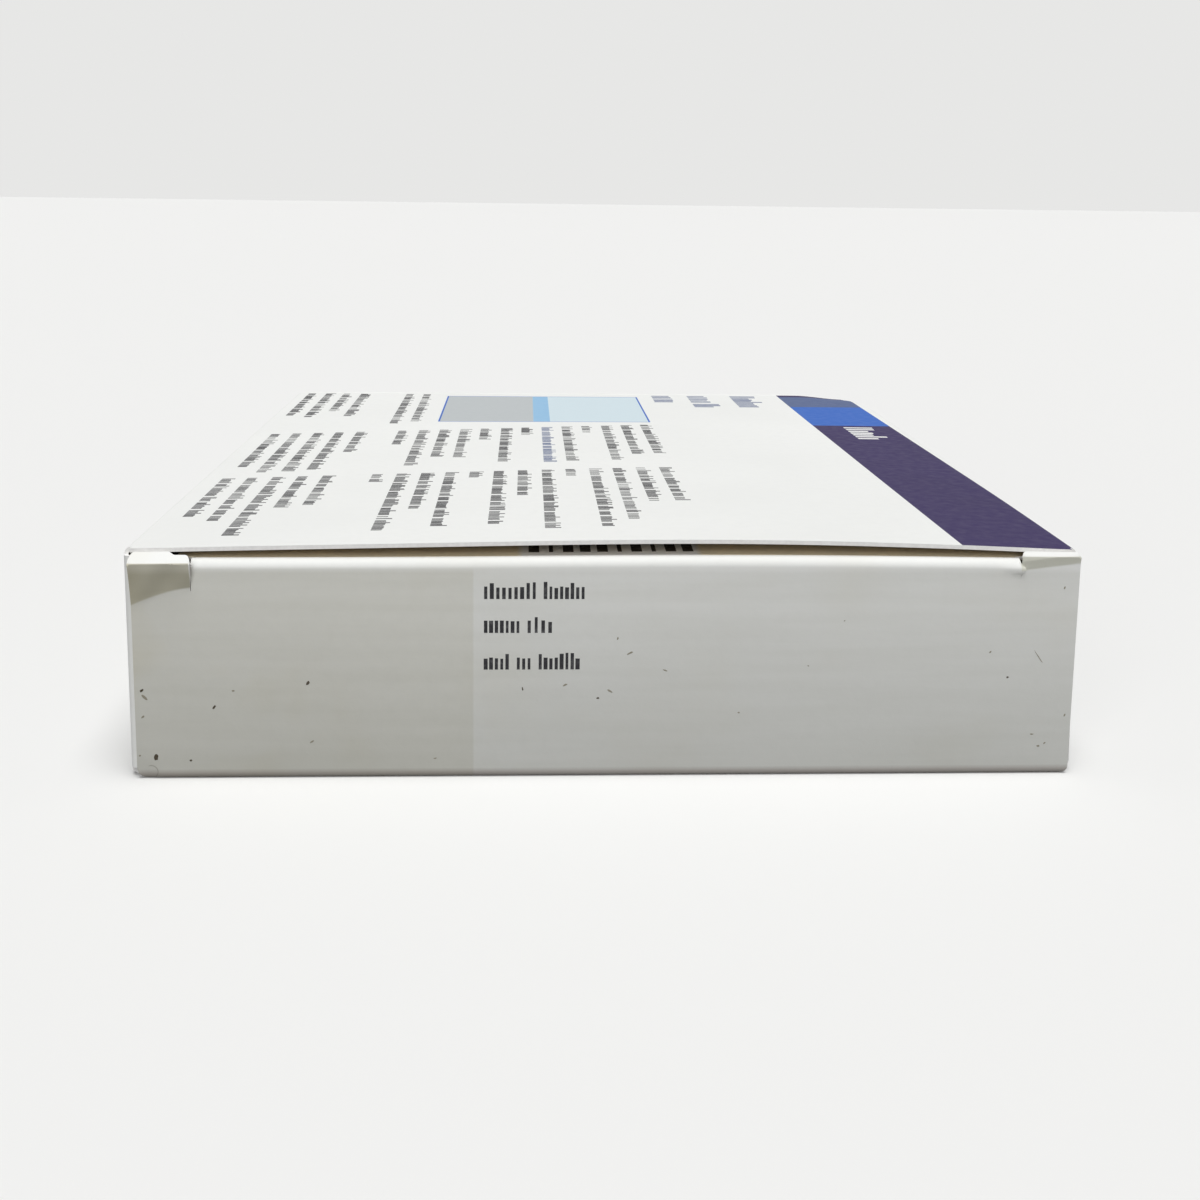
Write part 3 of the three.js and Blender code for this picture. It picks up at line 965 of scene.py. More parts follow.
def crease_height(share, crease):
    inner, drop, power = crease
    return inner - drop * max(0.0, share) ** power


def left_shoulder(share, z):
    """How far the left shoulder leans out: bent at a crease, and folded back sharply along its top."""
    crease = crease_height(share, LEFT_CREASE)
    lean = sizes().left_flare * (0.8 + 0.2 * share)
    rise = min(1.0, max(0.0, (z - crease) / (LEFT_ROLL_Z - crease)))
    sag = SHOULDER_SAG * math.sin(math.pi * rise) * math.cos(SAG_WAVE * share)
    return lean * rise + sag - LEFT_ROLL_SLOPE * max(0.0, z - LEFT_ROLL_Z)


def right_shoulder(share, z):
    """How far the right shoulder leans out, with its top and its inner edge folded back."""
    crease = crease_height(share, RIGHT_CREASE)
    rise = min(1.0, max(0.0, (z - crease) / RIGHT_RISE))
    from_slit = share * (FLAP_HALF - SLIT_TOP_HALF)
    curl = CURL_DEPTH * max(0.0, 1 - from_slit / CURL_REACH) ** 2 * ease((z - crease) / CURL_HEIGHT)
    return sizes().right_flare * rise - curl - RIGHT_ROLL_SLOPE * max(0.0, z - RIGHT_ROLL_Z)


def flap_point(x, y, z, damaged):
    """Moves a point of a flat, square flap to where the used flap has it."""
    corner = LEFT_CORNER_ROUND if x < 0 and damaged else CORNER_ROUND
    inset = corner - math.sqrt(max(0.0, corner ** 2 - max(0.0, corner - z) ** 2))
    near_side = ease((abs(x) - FLAP_HALF + CORNER_REACH) / CORNER_REACH)
    inset += LEFT_CORNER_INSET if x < 0 and damaged else 0.0
    moved_x = x - math.copysign(inset * near_side, x)
    bulge = math.sin(math.pi * min(1.0, z / PANEL_TOP)) * (1 - (x / FLAP_HALF) ** 2)
    y -= FACE_BULGE * bulge
    if damaged:
        share = (abs(x) - SLIT_TOP_HALF) / (FLAP_HALF - SLIT_TOP_HALF)
        if share > 0:
            out = (left_shoulder if x < 0 else right_shoulder)(share, z)
            y -= out
            moved_x -= SPLAY * out * (1 - share) * math.copysign(1, x)
        else:
            lip = ease((x - SLIT_TOP_HALF + LIP_REACH) / LIP_REACH)
            lip *= math.exp(-((z - LIP_Z) / LIP_HEIGHT) ** 2)
            y -= LIP_OUT * lip
            moved_x += LIP_ACROSS * lip
        y += pressed_corner(x, z)
    z += sizes().fold_lift * lift_at(x) * ease((z - FACE_LIFT_Z) / FACE_LIFT_REACH)
    return Vector((moved_x, y, z))


def pressed_corner(x, z):
    """The lower left corner is pressed in a little; its small curved crease is painted as a line of shade on
    the end face.
    """
    away = math.hypot(x - PRESS_X, z - PRESS_Z)
    return PRESS_DEPTH * ease(1 - away / PRESS_REACH)


def shoulder_top(x, damaged):
    """Height of a shoulder's upper edge, with a low step and rounded corners."""
    top = PANEL_TOP - 0.1 * MM
    inner = abs(x) - SLIT_TOP_HALF - sizes().slit
    step, step_at = (0.24, 1.6) if x < 0 else (0.0, 0.6)
    if not damaged:
        step, step_at = 0.45, 2.0
    elif x < 0:
        top = 21.78 * MM
    top -= step * MM * ease((step_at * MM + 0.3 * MM - inner) / (0.6 * MM))
    for reach, size in ((inner, 0.38 * MM), (FLAP_HALF - abs(x), 0.5 * MM)):
        if reach < size:
            top -= size - math.sqrt(max(0.0, size ** 2 - (size - reach) ** 2))
    return top


def flap_sheet(damaged):
    """Outer face of an end flap, drawn at the near end."""
    inner = SLIT_TOP_HALF + sizes().slit
    left = steps(-FLAP_HALF, -inner - 0.8 * MM, 30) + steps(-inner - 0.8 * MM, -inner, 8)[1:]
    middle = steps(-SLIT_TOP_HALF, SLIT_TOP_HALF, 72)
    right = steps(inner, inner + 0.8 * MM, 8) + steps(inner + 0.8 * MM, FLAP_HALF, 24)[1:]
    left_slit = LEFT_SLIT_Z if damaged else RIGHT_SLIT_Z
    foot = arc_points((FOOT_AXIS.y, FOOT_AXIS.z), FOOT_RADIUS, 330, 180, 10)
    low = [(END_Y, z) for z in steps(FOOT_AXIS.z, 3.5 * MM, 22)[1:]]
    high = [(END_Y, z) for z in steps(3.5 * MM, left_slit, 30)[1:]]
    arc = arc_points((FOLD_AXIS.y, FOLD_AXIS.z), FOLD_RADIUS, 180, 90 + math.degrees(TONGUE_RISE), 16)

    def across(columns, path):
        return [[flap_point(x, y, z, damaged) for x in columns] for y, z in path]

    def add_shoulder(row, columns, slit_z):
        shares = steps(0, 1, 30)[1:]
        sheet.rows(row, [[flap_point(x, END_Y, slit_z + share * (shoulder_top(x, damaged) - slit_z), damaged)
                          for x in columns] for share in shares])

    sheet = Sheet()
    path = foot + low + high
    last = sheet.row(across(left + middle + right, path[:1])[0])
    last = sheet.rows(last, across(left + middle + right, path[1:]))
    add_shoulder(last[:len(left)], left, left_slit)
    last = last[len(left):]
    if damaged:
        between = [(END_Y, z) for z in steps(left_slit, RIGHT_SLIT_Z, 6)[1:]]
        last = sheet.rows(last, across(middle + right, between))
    add_shoulder(last[len(middle):], right, RIGHT_SLIT_Z)
    upper = [(END_Y, z) for z in steps(RIGHT_SLIT_Z, FOLD_AXIS.z, 3)[1:]] + arc[1:]
    sheet.rows(last[:len(middle)], across(middle, upper))
    return oriented(sheet, Vector((0, -1, 0)))


def tongue_slope(run):
    """How steeply a tongue falls at a distance from its fold: it rises a little first."""
    return -TONGUE_RISE + (TONGUE_RISE + TONGUE_DIP) * ease((run - RISE_END) / (DIP_START - RISE_END))


def tongue_path(run):
    """Place (y, z) and slope of a tongue's outer face at a distance from its fold."""
    y = FOLD_AXIS.y - FOLD_RADIUS * math.sin(TONGUE_RISE)
    z = FOLD_AXIS.z + FOLD_RADIUS * math.cos(TONGUE_RISE)
    count = max(1, math.ceil(run / TONGUE_STEP))
    step = run / count
    for index in range(count):
        slope = tongue_slope((index + 0.5) * step)
        y += step * math.cos(slope)
        z -= step * math.sin(slope)
    return y, z, tongue_slope(run)


def tongue_sheet():
    """Outer face of a tongue with round free corners, drawn at the near end."""
    corner = TONGUE_CORNER
    sheet = Sheet()
    columns = steps(-1, 1, 64)

    def place(share, run):
        ear = ease((run - EAR_START) / EAR_GROWTH) * (1 - run / TONGUE_LENGTH)
        half = TONGUE_HALF + FOLD_MARGIN + (EAR_HALF - TONGUE_HALF - FOLD_MARGIN) * ear
        to_tip = TONGUE_LENGTH - run
        if to_tip < corner:
            half -= corner - math.sqrt(max(0.0, corner ** 2 - (corner - to_tip) ** 2))
        y, z, _ = tongue_path(run)
        return Vector((share * half, y, z + sizes().fold_lift * lift_at(share * half)))

    runs = steps(0.0, 0.6 * MM, 5) + steps(0.6 * MM, TONGUE_LENGTH - corner, 14)[1:]
    runs += steps(TONGUE_LENGTH - corner, TONGUE_LENGTH, 10)[1:]
    last = sheet.row([place(share, runs[0]) for share in columns])
    sheet.rows(last, [[place(share, run) for share in columns] for run in runs[1:]])
    return oriented(sheet, Vector((0, 0, 1)))


def fold_liner(name):
    """The inner plies of the fold, which show where the fold opens as the flap turns."""
    inner = FOLD_RADIUS - sizes().board - 0.03 * MM
    arc = arc_points((FOLD_AXIS.y, FOLD_AXIS.z), inner, 150, 80, 8)
    sheet = Sheet()
    ends = steps(-TONGUE_HALF + 0.1 * MM, TONGUE_HALF - 0.1 * MM, 24)
    last = sheet.row([Vector((x, *arc[0])) for x in ends])
    sheet.rows(last, [[Vector((x, y, z)) for x in ends] for y, z in arc[1:]])
    sheet.points = [p + Vector((0, 0, sizes().fold_lift * lift_at(p.x))) for p in sheet.points]
    shape = oriented(sheet, Vector((0, 0, 1)))
    made = mesh_object(name, shape.points, shape.faces, [finish_of("cut_edge")])
    thickness = made.modifiers.new("Thickness", "SOLIDIFY")
    thickness.thickness = 0.2 * MM
    thickness.offset = -1.0
    remesh_from_modifiers(made)
    smooth(made)
    return made


def end_pieces(prefix, damaged):
    flap = board_from_sheet(f"{prefix}_flap_board", flap_sheet(damaged), finish_of("coated_board_end"))
    tongue = board_from_sheet(f"{prefix}_tongue_board", tongue_sheet(), finish_of("coated_board_tongue"))
    join_into(tongue, fold_liner(f"{prefix}_liner"))
    smooth(tongue)
    if prefix == "far":
        knock_far_corner(turn_to_far_end(flap))
        turn_to_far_end(tongue)
    for made, body, node in ((flap, f"{prefix}_flap", f"{prefix}_end_flap"),
                             (tongue, f"{prefix}_tongue", f"{prefix}_tuck_tongue")):
        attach(made, body)
        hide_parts(node)


class CARTON_OT_near_end(bpy.types.Operator):
    """Builds the near end flap with its leaning shoulders, and its tongue"""

    bl_idname = "carton.near_end"
    bl_label = "Near end"

    def execute(self, context):
        end_pieces("near", True)
        return {"FINISHED"}


class CARTON_OT_far_end(bpy.types.Operator):
    """Builds the far end flap and its tongue"""

    bl_idname = "carton.far_end"
    bl_label = "Far end"

    def execute(self, context):
        end_pieces("far", False)
        return {"FINISHED"}


# Rows of strokes, by Geometry Nodes


def add_input(tree, name, kind, default=None):
    socket = tree.interface.new_socket(name=name, in_out="INPUT", socket_type=kind)
    if default is not None:
        socket.default_value = default
    return socket


# Strokes that stand taller or hang lower than the others: their share and by how much
TALL_ABOVE = 0.74
TALL_GAIN = 0.38
LOW_BELOW = 0.13
LOW_REACH = -0.36

# Words in strokes, with the gap after one and the shortest one kept, as parts of the pitch
WORD_STROKES = (2, 9)
WORD_GAP = 2.1
SHORTEST_WORD = 1.5


def stroke_tree():
    """Sets small blocks of uneven width and height along every edge of a mesh."""
    found = bpy.data.node_groups.get("Stroke rows")
    if found:
        return found
    tree = bpy.data.node_groups.new("Stroke rows", "GeometryNodeTree")
    add_input(tree, "Rows", "NodeSocketGeometry")
    add_input(tree, "Pitch", "NodeSocketFloat", 0.62 * MM)
    add_input(tree, "Height", "NodeSocketFloat", 1.2 * MM)
    add_input(tree, "Thickness", "NodeSocketFloat", 0.03 * MM)
    add_input(tree, "Turn", "NodeSocketVector")
    add_input(tree, "Seed", "NodeSocketInt", 1)
    add_input(tree, "Ink", "NodeSocketMaterial")
    tree.interface.new_socket(name="Strokes", in_out="OUTPUT", socket_type="NodeSocketGeometry")
    nodes, links = tree.nodes, tree.links
    start = nodes.new("NodeGroupInput")
    end = nodes.new("NodeGroupOutput")

    def random_value(low, high, salt):
        node = nodes.new("FunctionNodeRandomValue")
        node.inputs[2].default_value = low
        node.inputs[3].default_value = high
        offset = nodes.new("ShaderNodeMath")
        offset.inputs[1].default_value = salt
        links.new(start.outputs["Seed"], offset.inputs[0])
        links.new(offset.outputs[0], node.inputs["Seed"])
        return node.outputs[1]

    def times(first, second):
        node = nodes.new("ShaderNodeMath")
        node.operation = "MULTIPLY"
        links.new(first, node.inputs[0])
        links.new(second, node.inputs[1])
        return node.outputs[0]

    curve = nodes.new("GeometryNodeMeshToCurve")
    links.new(start.outputs["Rows"], curve.inputs["Mesh"])
    spaced = nodes.new("GeometryNodeResampleCurve")
    spaced.mode = "LENGTH"
    links.new(curve.outputs[0], spaced.inputs["Curve"])
    links.new(start.outputs["Pitch"], spaced.inputs["Length"])
    block = nodes.new("GeometryNodeMeshCube")
    block.inputs["Size"].default_value = (1, 1, 1)
    raised = nodes.new("GeometryNodeTransform")
    raised.inputs["Translation"].default_value = (0, 0.5, 0)
    links.new(block.outputs["Mesh"], raised.inputs["Geometry"])
    copies = nodes.new("GeometryNodeInstanceOnPoints")
    links.new(spaced.outputs[0], copies.inputs["Points"])
    links.new(raised.outputs[0], copies.inputs["Instance"])
    links.new(start.outputs["Turn"], copies.inputs["Rotation"])
    tall = nodes.new("ShaderNodeMath")
    tall.operation = "GREATER_THAN"
    tall.inputs[1].default_value = TALL_ABOVE
    links.new(random_value(0.0, 1.0, 31), tall.inputs[0])
    height_share = nodes.new("ShaderNodeMath")
    height_share.operation = "MULTIPLY_ADD"
    height_share.inputs[1].default_value = TALL_GAIN
    links.new(tall.outputs[0], height_share.inputs[0])
    links.new(random_value(0.86, 1.0, 47), height_share.inputs[2])
    scale = nodes.new("ShaderNodeCombineXYZ")
    links.new(times(start.outputs["Pitch"], random_value(0.46, 0.82, 11)), scale.inputs["X"])
    links.new(times(start.outputs["Height"], height_share.outputs[0]), scale.inputs["Y"])
    links.new(start.outputs["Thickness"], scale.inputs["Z"])
    links.new(scale.outputs[0], copies.inputs["Scale"])
    low = nodes.new("ShaderNodeMath")
    low.operation = "LESS_THAN"
    low.inputs[1].default_value = LOW_BELOW
    links.new(random_value(0.0, 1.0, 59), low.inputs[0])
    reach = nodes.new("ShaderNodeMath")
    reach.operation = "MULTIPLY"
    reach.inputs[1].default_value = LOW_REACH
    links.new(times(low.outputs[0], start.outputs["Height"]), reach.inputs[0])
    below = nodes.new("ShaderNodeCombineXYZ")
    links.new(reach.outputs[0], below.inputs["Y"])
    lowered = nodes.new("GeometryNodeTranslateInstances")
    links.new(copies.outputs[0], lowered.inputs["Instances"])
    links.new(below.outputs[0], lowered.inputs["Translation"])
    real = nodes.new("GeometryNodeRealizeInstances")
    links.new(lowered.outputs[0], real.inputs[0])
    painted = nodes.new("GeometryNodeSetMaterial")
    links.new(real.outputs[0], painted.inputs["Geometry"])
    links.new(start.outputs["Ink"], painted.inputs["Material"])
    links.new(painted.outputs[0], end.inputs[0])
    return tree


def set_inputs(modifier, **values):
    """Sets a tree's inputs by their names, through the sockets' identifiers."""
    for item in modifier.node_group.interface.items_tree:
        if item.in_out == "INPUT" and item.name in values:
            modifier[item.identifier] = values[item.name]


def words(start, direction, length, pitch, chance):
    """Edges of uneven words along a row."""
    edges = []
    run = 0.0
    while run < length:
        word = pitch * chance.randint(*WORD_STROKES)
        stop = min(run + word, length)
        if stop - run > SHORTEST_WORD * pitch:
            edges.append((start + direction * run, start + direction * stop))
        run = stop + WORD_GAP * pitch
    return edges


def strokes(name, edges, turn, material, height, pitch, seed):
    """Blocks of ink along the given edges, as one plain mesh."""
    points = [end for edge in edges for end in edge]
    mesh = bpy.data.meshes.new(name)
    mesh.from_pydata([tuple(p) for p in points], [(2 * i, 2 * i + 1) for i in range(len(edges))], [])
    made = bpy.data.objects.new(name, mesh)
    bpy.context.scene.collection.objects.link(made)
    modifier = made.modifiers.new("Strokes", "NODES")
    modifier.node_group = stroke_tree()
    set_inputs(modifier, Pitch=pitch, Height=height, Thickness=2 * prints().ink, Turn=turn, Seed=seed,
               Ink=material)
    remesh_from_modifiers(made)
    return made


TOP_TURN = (0.0, 0.0, -math.pi / 2)
END_TURN = (math.pi / 2, 0.0, 0.0)


def lay_on_top(made):
    """Follows the bow of the top panel."""
    for vertex in made.data.vertices:
        vertex.co.z += PANEL_TOP + bow_at(vertex.co.x, vertex.co.y)
    return made


# Lengths of the rows on the top panel in millimetres, from right to left; a 0 leaves a row out
NEAR_ROWS = (20, 20, 29, 32, 4, 32, 16, 29, 4, 30, 20, 31, 5, 0, 17, 17, 31, 24, 20)
FAR_ROWS = (24, 24, 28, 6, 28, 28, 6, 28, 9, 23, 23, 27, 11, 0, 17, 28, 28, 28, 24)
TINTED_ROW = 5

# Larger strokes beside and inside the band
LARGE_HEIGHT = 3.2 * MM
FAR_PITCH = 1.3 * MM
BAND_PITCH = 1.5 * MM

# Rows of the label on the near end: where they start, and height above the table and length in millimetres
END_ROWS_X = -11.65 * MM
END_ROWS = ((17.4, 9.5), (14.15, 6.0), (10.6, 9.7))
END_PITCH = 0.5 * MM
END_HEIGHT = 1.2 * MM

# Bars on the near tongue: their middle, where they start and how much of the tongue they run along
BARS_X = 0.1 * MM
BARS_START = 1.3 * MM
BARS_SHARE = 0.7


def top_rows(chance):
    """Rows of words on the top panel: two long columns and two short far ones."""
    settings = prints()
    towards = Vector((0, -1, 0))
    dark, tinted = [], []

    def column(first_x, y_start, slant, lengths, tinted_row=None):
        for index, length in enumerate(lengths):
            start = Vector((first_x - index * settings.line_pitch, y_start - slant * index, 0))
            target = tinted if index == tinted_row else dark
            target.extend(words(start, towards, length * MM, settings.pitch, chance))

    column(7.9 * MM, -14.4 * MM, 0.33 * MM, NEAR_ROWS)
    column(8.2 * MM, 20.4 * MM, 0.50 * MM, FAR_ROWS, TINTED_ROW)
    column(-24.5 * MM, 52.6 * MM, 0.0, (29, 31))
    column(-34.6 * MM, 52.6 * MM, 0.0, (24, 20, 26, 25))
    return dark, tinted


def large_rows(chance):
    """Rows of larger strokes: far ones beside the band and a pale one inside it."""
    towards = Vector((0, -1, 0))
    far, pale = [], []
    for x, length in ((25.2 * MM, 15 * MM), (18.2 * MM, 12 * MM), (12.4 * MM, 9 * MM)):
        far.extend(words(Vector((x, 52.0 * MM, 0)), towards, length, FAR_PITCH, chance))
    pale.extend(words(Vector((37.3 * MM, 19.6 * MM, 0)), towards, 9.5 * MM, BAND_PITCH, chance))
    return far, pale


class CARTON_OT_top_print(bpy.types.Operator):
    """Sets plain rows of strokes on the top panel"""

    bl_idname = "carton.top_print"
    bl_label = "Top print"

    def execute(self, context):
        chance = random.Random(prints().seed)
        dark, tinted = top_rows(chance)
        tones = colours()
        for name, edges, tone in (("top_rows", dark, tones.text), ("top_rows_tinted", tinted, tones.slate)):
            made = strokes(name, edges, TOP_TURN, ink(f"{name}_ink", tone), prints().x_height,
                           prints().pitch, prints().seed)
            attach(lay_on_top(made), "carton")
        far, pale = large_rows(chance)
        for name, edges, tone, pitch in (("far_marks", far, tones.slate, FAR_PITCH),
                                         ("band_marks", pale, tones.white, BAND_PITCH)):
            made = strokes(name, edges, TOP_TURN, ink(f"{name}_ink", tone), LARGE_HEIGHT, pitch,
                           prints().seed)
            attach(lay_on_top(made), "carton")
        return {"FINISHED"}


class CARTON_OT_end_print(bpy.types.Operator):
    """Sets the label strokes on the near end flap and the bars on its tongue"""

    bl_idname = "carton.end_print"
    bl_label = "End print"

    def execute(self, context):
        tones = colours()
        along = Vector((1, 0, 0))
        face_y = END_Y - FACE_BULGE
        chance = random.Random(prints().seed + 2)
        edges = []
        for z, length in END_ROWS:
            start = Vector((END_ROWS_X, face_y, z * MM))
            edges.extend(words(start, along, length * MM, END_PITCH, chance))
        made = strokes("end_label_rows", edges, END_TURN, ink("end_label_ink", tones.text), END_HEIGHT,
                       END_PITCH, prints().seed + 4)
        for vertex in made.data.vertices:
            vertex.co.y += FACE_BULGE * (1 - math.sin(math.pi * vertex.co.z / PANEL_TOP)
                                         * (1 - (vertex.co.x / FLAP_HALF) ** 2))
        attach(made, "near_flap")
        self.bars()
        return {"FINISHED"}

    def bars(self):
        """Upright bars in a plain alternating pattern, running in under the top panel."""
        pitch = prints().bar_pitch
        thick, thin = 1.0 * MM, 0.4 * MM
        widths = [thick, thin, thick, thick, thick, thin, thick, thin, thick, thick]
        lift = prints().ink
        work = bmesh.new()
        for index, width in enumerate(widths):
            middle = (index - (len(widths) - 1) / 2) * pitch + BARS_X
            rings = []
            for run in steps(BARS_START, BARS_SHARE * TONGUE_LENGTH, 12):
                y, z, slope = tongue_path(run)
                ring = []
                for side, up in ((-1, -lift), (1, -lift), (1, lift), (-1, lift)):
                    x = middle + side * width / 2
                    lift_z = sizes().fold_lift * lift_at(x)
                    place = (x, y + up * math.sin(slope), z + lift_z + up * math.cos(slope))
                    ring.append(work.verts.new(place))
                rings.append(ring)
            for first, second in zip(rings, rings[1:]):
                for corner in range(4):
                    after = (corner + 1) % 4
                    work.faces.new((first[corner], first[after], second[after], second[corner]))
            work.faces.new(rings[0])
            work.faces.new(rings[-1])
        bmesh.ops.recalc_face_normals(work, faces=work.faces)
        made = object_from(work, "tongue_bars", ink("bar_ink", colours().bars))
        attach(made, "near_tongue")


# Dirt on the near end


# Place in x and z, half length and half width in millimetres, and tilt in degrees
DARK_SPECKS = (
    (-42.4, 2.13, 0.34, 0.23, 80), (-43.5, 8.63, 0.22, 0.11, 35), (-28.2, 9.33, 0.24, 0.14, 60),
    (-36.9, 6.98, 0.26, 0.10, 50), (-39.2, 1.78, 0.13, 0.10, 0), (-1.1, 7.78, 0.15, 0.09, 20),
    (-8.2, 8.68, 0.20, 0.07, 95), (38.0, 9.68, 0.13, 0.10, 0),
)
DARK_TONE = (0.075, 0.06, 0.04)
FAINT_SPECKS = (
    (-43.3, 7.98, 0.45, 0.12, -40), (-43.5, 6.08, 0.20, 0.09, 40), (-27.9, 3.58, 0.26, 0.08, 35),
    (-35.1, 8.58, 0.14, 0.09, 0), (-44.1, 16.88, 0.10, 0.07, 0), (-43.9, 2.28, 0.12, 0.09, 30),
    (-4.2, 9.08, 0.24, 0.08, 25), (0.0, 8.48, 0.28, 0.09, -30), (1.9, 12.18, 0.32, 0.08, 30),
    (0.7, 13.58, 0.16, 0.09, 80), (5.2, 10.48, 0.22, 0.07, -20), (43.0, 18.48, 0.15, 0.08, 80),
    (40.9, 11.68, 0.75, 0.045, -55), (36.2, 12.18, 0.14, 0.07, 50), (41.4, 2.78, 0.16, 0.10, 0),
    (42.0, 3.08, 0.13, 0.08, 40), (40.7, 3.98, 0.2, 0.06, 0), (43.8, 5.88, 0.16, 0.07, 60),
    (12.3, 6.28, 0.11, 0.06, 0), (-16.4, 1.88, 0.18, 0.07, 10), (22.1, 15.28, 0.10, 0.06, 30),
    (18.8, 10.88, 0.09, 0.06, 0),
)
FAINT_TONE = (0.30, 0.28, 0.22)

# How far a speck stands out of the face and reaches into it, in millimetres
SPECK_LIFTS = (0.03, -0.012)


def near_face_y(x, z):
    """How far out the near flap's face is at a place."""
    return flap_point(x, END_Y, z, True).y


def add_speck(work, chance, x, z, length, width, tilt):
    """A thin irregular flake that lies on the near face."""
    tilt = math.radians(tilt)
    rim = []
    for turn in steps(0, 2 * math.pi, 11)[:-1]:
        reach = chance.uniform(0.72, 1.2)
        along, across = reach * length * math.cos(turn), reach * width * math.sin(turn)
        rim.append((x + along * math.cos(tilt) - across * math.sin(tilt),
                    z + along * math.sin(tilt) + across * math.cos(tilt)))
    rings = []
    for lift in SPECK_LIFTS:
        places = [(u * MM, near_face_y(u * MM, v * MM) + lift * MM, v * MM) for u, v in rim]
        rings.append([work.verts.new(place) for place in places])
    work.faces.new(rings[0])
    work.faces.new(list(reversed(rings[1])))
    for index in range(len(rim)):
        after = (index + 1) % len(rim)
        work.faces.new((rings[0][index], rings[1][index], rings[1][after], rings[0][after]))


class CARTON_OT_specks(bpy.types.Operator):
    """Sets specks of dirt and a few faint rub marks on the near end flap"""

    bl_idname = "carton.specks"
    bl_label = "Specks"

    def execute(self, context):
        chance = random.Random(prints().seed + 9)
        for name, places, tone in (("dark_specks", DARK_SPECKS, DARK_TONE),
                                   ("faint_specks", FAINT_SPECKS, FAINT_TONE)):
            work = bmesh.new()
            for place in places:
                add_speck(work, chance, *place)
            bmesh.ops.recalc_face_normals(work, faces=work.faces)
            made = object_from(work, name, ink(f"{name}_dirt", tone))
            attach(made, "near_flap")
        return {"FINISHED"}


# Contents

STRIP_CARD = 0.5 * MM
STRIP_CORNER = 4.0 * MM
POCKETS_ACROSS = 2
POCKETS_ALONG = 5
POCKET_RADIUS = 5.4 * MM
POCKET_SKIRT = 1.1 * MM
LEAFLET_LAYERS = 8
LEAFLET_STAGGER = 0.4 * MM
LEAFLET_FOLD_GAP = 4 * MM


def pocket_tree():
    """Joins a strip's card with pockets in rows and columns."""
    tree = bpy.data.node_groups.new("Strip pockets", "GeometryNodeTree")
    add_input(tree, "Card", "NodeSocketGeometry")
    add_input(tree, "Pocket", "NodeSocketObject")
    add_input(tree, "Step X", "NodeSocketFloat", 40 * MM)
    add_input(tree, "Step Y", "NodeSocketFloat", 17 * MM)
    add_input(tree, "Across", "NodeSocketInt", 2)
    add_input(tree, "Along", "NodeSocketInt", 5)
    add_input(tree, "Foil", "NodeSocketMaterial")
    tree.interface.new_socket(name="Strip", in_out="OUTPUT", socket_type="NodeSocketGeometry")
    nodes, links = tree.nodes, tree.links
    start = nodes.new("NodeGroupInput")
    end = nodes.new("NodeGroupOutput")

    def extent(step, count):
        less = nodes.new("ShaderNodeMath")
        less.operation = "SUBTRACT"
        less.inputs[1].default_value = 1
        links.new(start.outputs[count], less.inputs[0])
        product = nodes.new("ShaderNodeMath")
        product.operation = "MULTIPLY"
        links.new(less.outputs[0], product.inputs[0])
        links.new(start.outputs[step], product.inputs[1])
        return product.outputs[0]

    grid = nodes.new("GeometryNodeMeshGrid")
    links.new(extent("Step X", "Across"), grid.inputs["Size X"])
    links.new(extent("Step Y", "Along"), grid.inputs["Size Y"])
    links.new(start.outputs["Across"], grid.inputs["Vertices X"])
    links.new(start.outputs["Along"], grid.inputs["Vertices Y"])
    source = nodes.new("GeometryNodeObjectInfo")
    links.new(start.outputs["Pocket"], source.inputs["Object"])
    copies = nodes.new("GeometryNodeInstanceOnPoints")
    links.new(grid.outputs["Mesh"], copies.inputs["Points"])
    links.new(source.outputs["Geometry"], copies.inputs["Instance"])
    joined = nodes.new("GeometryNodeJoinGeometry")
    links.new(copies.outputs[0], joined.inputs[0])
    links.new(start.outputs["Card"], joined.inputs[0])
    real = nodes.new("GeometryNodeRealizeInstances")
    links.new(joined.outputs[0], real.inputs[0])
    painted = nodes.new("GeometryNodeSetMaterial")
    links.new(real.outputs[0], painted.inputs["Geometry"])
    links.new(start.outputs["Foil"], painted.inputs["Material"])
    links.new(painted.outputs[0], end.inputs[0])
    return tree


def pocket_object(radius, height, skirt):
    """One closed domed pocket with a rounded shoulder and a flat floor."""
    profile = [(0.0, 0.0), (radius + skirt, 0.0), (radius + 0.4 * skirt, 0.12 * height)]
    for turn in steps(0, math.pi / 2, 7):
        out = radius - 0.28 * radius * (1 - math.cos(turn))
        profile.append((out, height * (0.35 + 0.6 * math.sin(turn))))
    profile.append((0.0, height))
    work = bmesh.new()
    path = [work.verts.new((x, 0, z)) for x, z in profile]
    edges = [work.edges.new(pair) for pair in zip(path, path[1:])]
    bmesh.ops.spin(work, geom=path + edges, cent=(0, 0, 0), axis=(0, 0, 1), angle=2 * math.pi, steps=36)
    bmesh.ops.remove_doubles(work, verts=work.verts, dist=SAME_PLACE)
    bmesh.ops.recalc_face_normals(work, faces=work.faces)
    return object_from(work, "pocket")


def strip_card(name, low, high, thickness):
    """The flat card of a strip, with round corners."""
    corner = STRIP_CORNER
    outline = []
    for cx, cy, first in ((high.x - corner, high.y - corner, 0), (low.x + corner, high.y - corner, 90),
                          (low.x + corner, low.y + corner, 180), (high.x - corner, low.y + corner, 270)):
        outline.extend(arc_points((cx, cy), corner, first, first + 90, 8))
    work = bmesh.new()
    face = work.faces.new([work.verts.new((x, y, low.z)) for x, y in outline])
    raised = bmesh.ops.extrude_face_region(work, geom=[face])["geom"]
    moved = [v for v in raised if isinstance(v, bmesh.types.BMVert)]
    bmesh.ops.translate(work, verts=moved, vec=(0, 0, thickness))
    bmesh.ops.recalc_face_normals(work, faces=work.faces)
    return object_from(work, name)


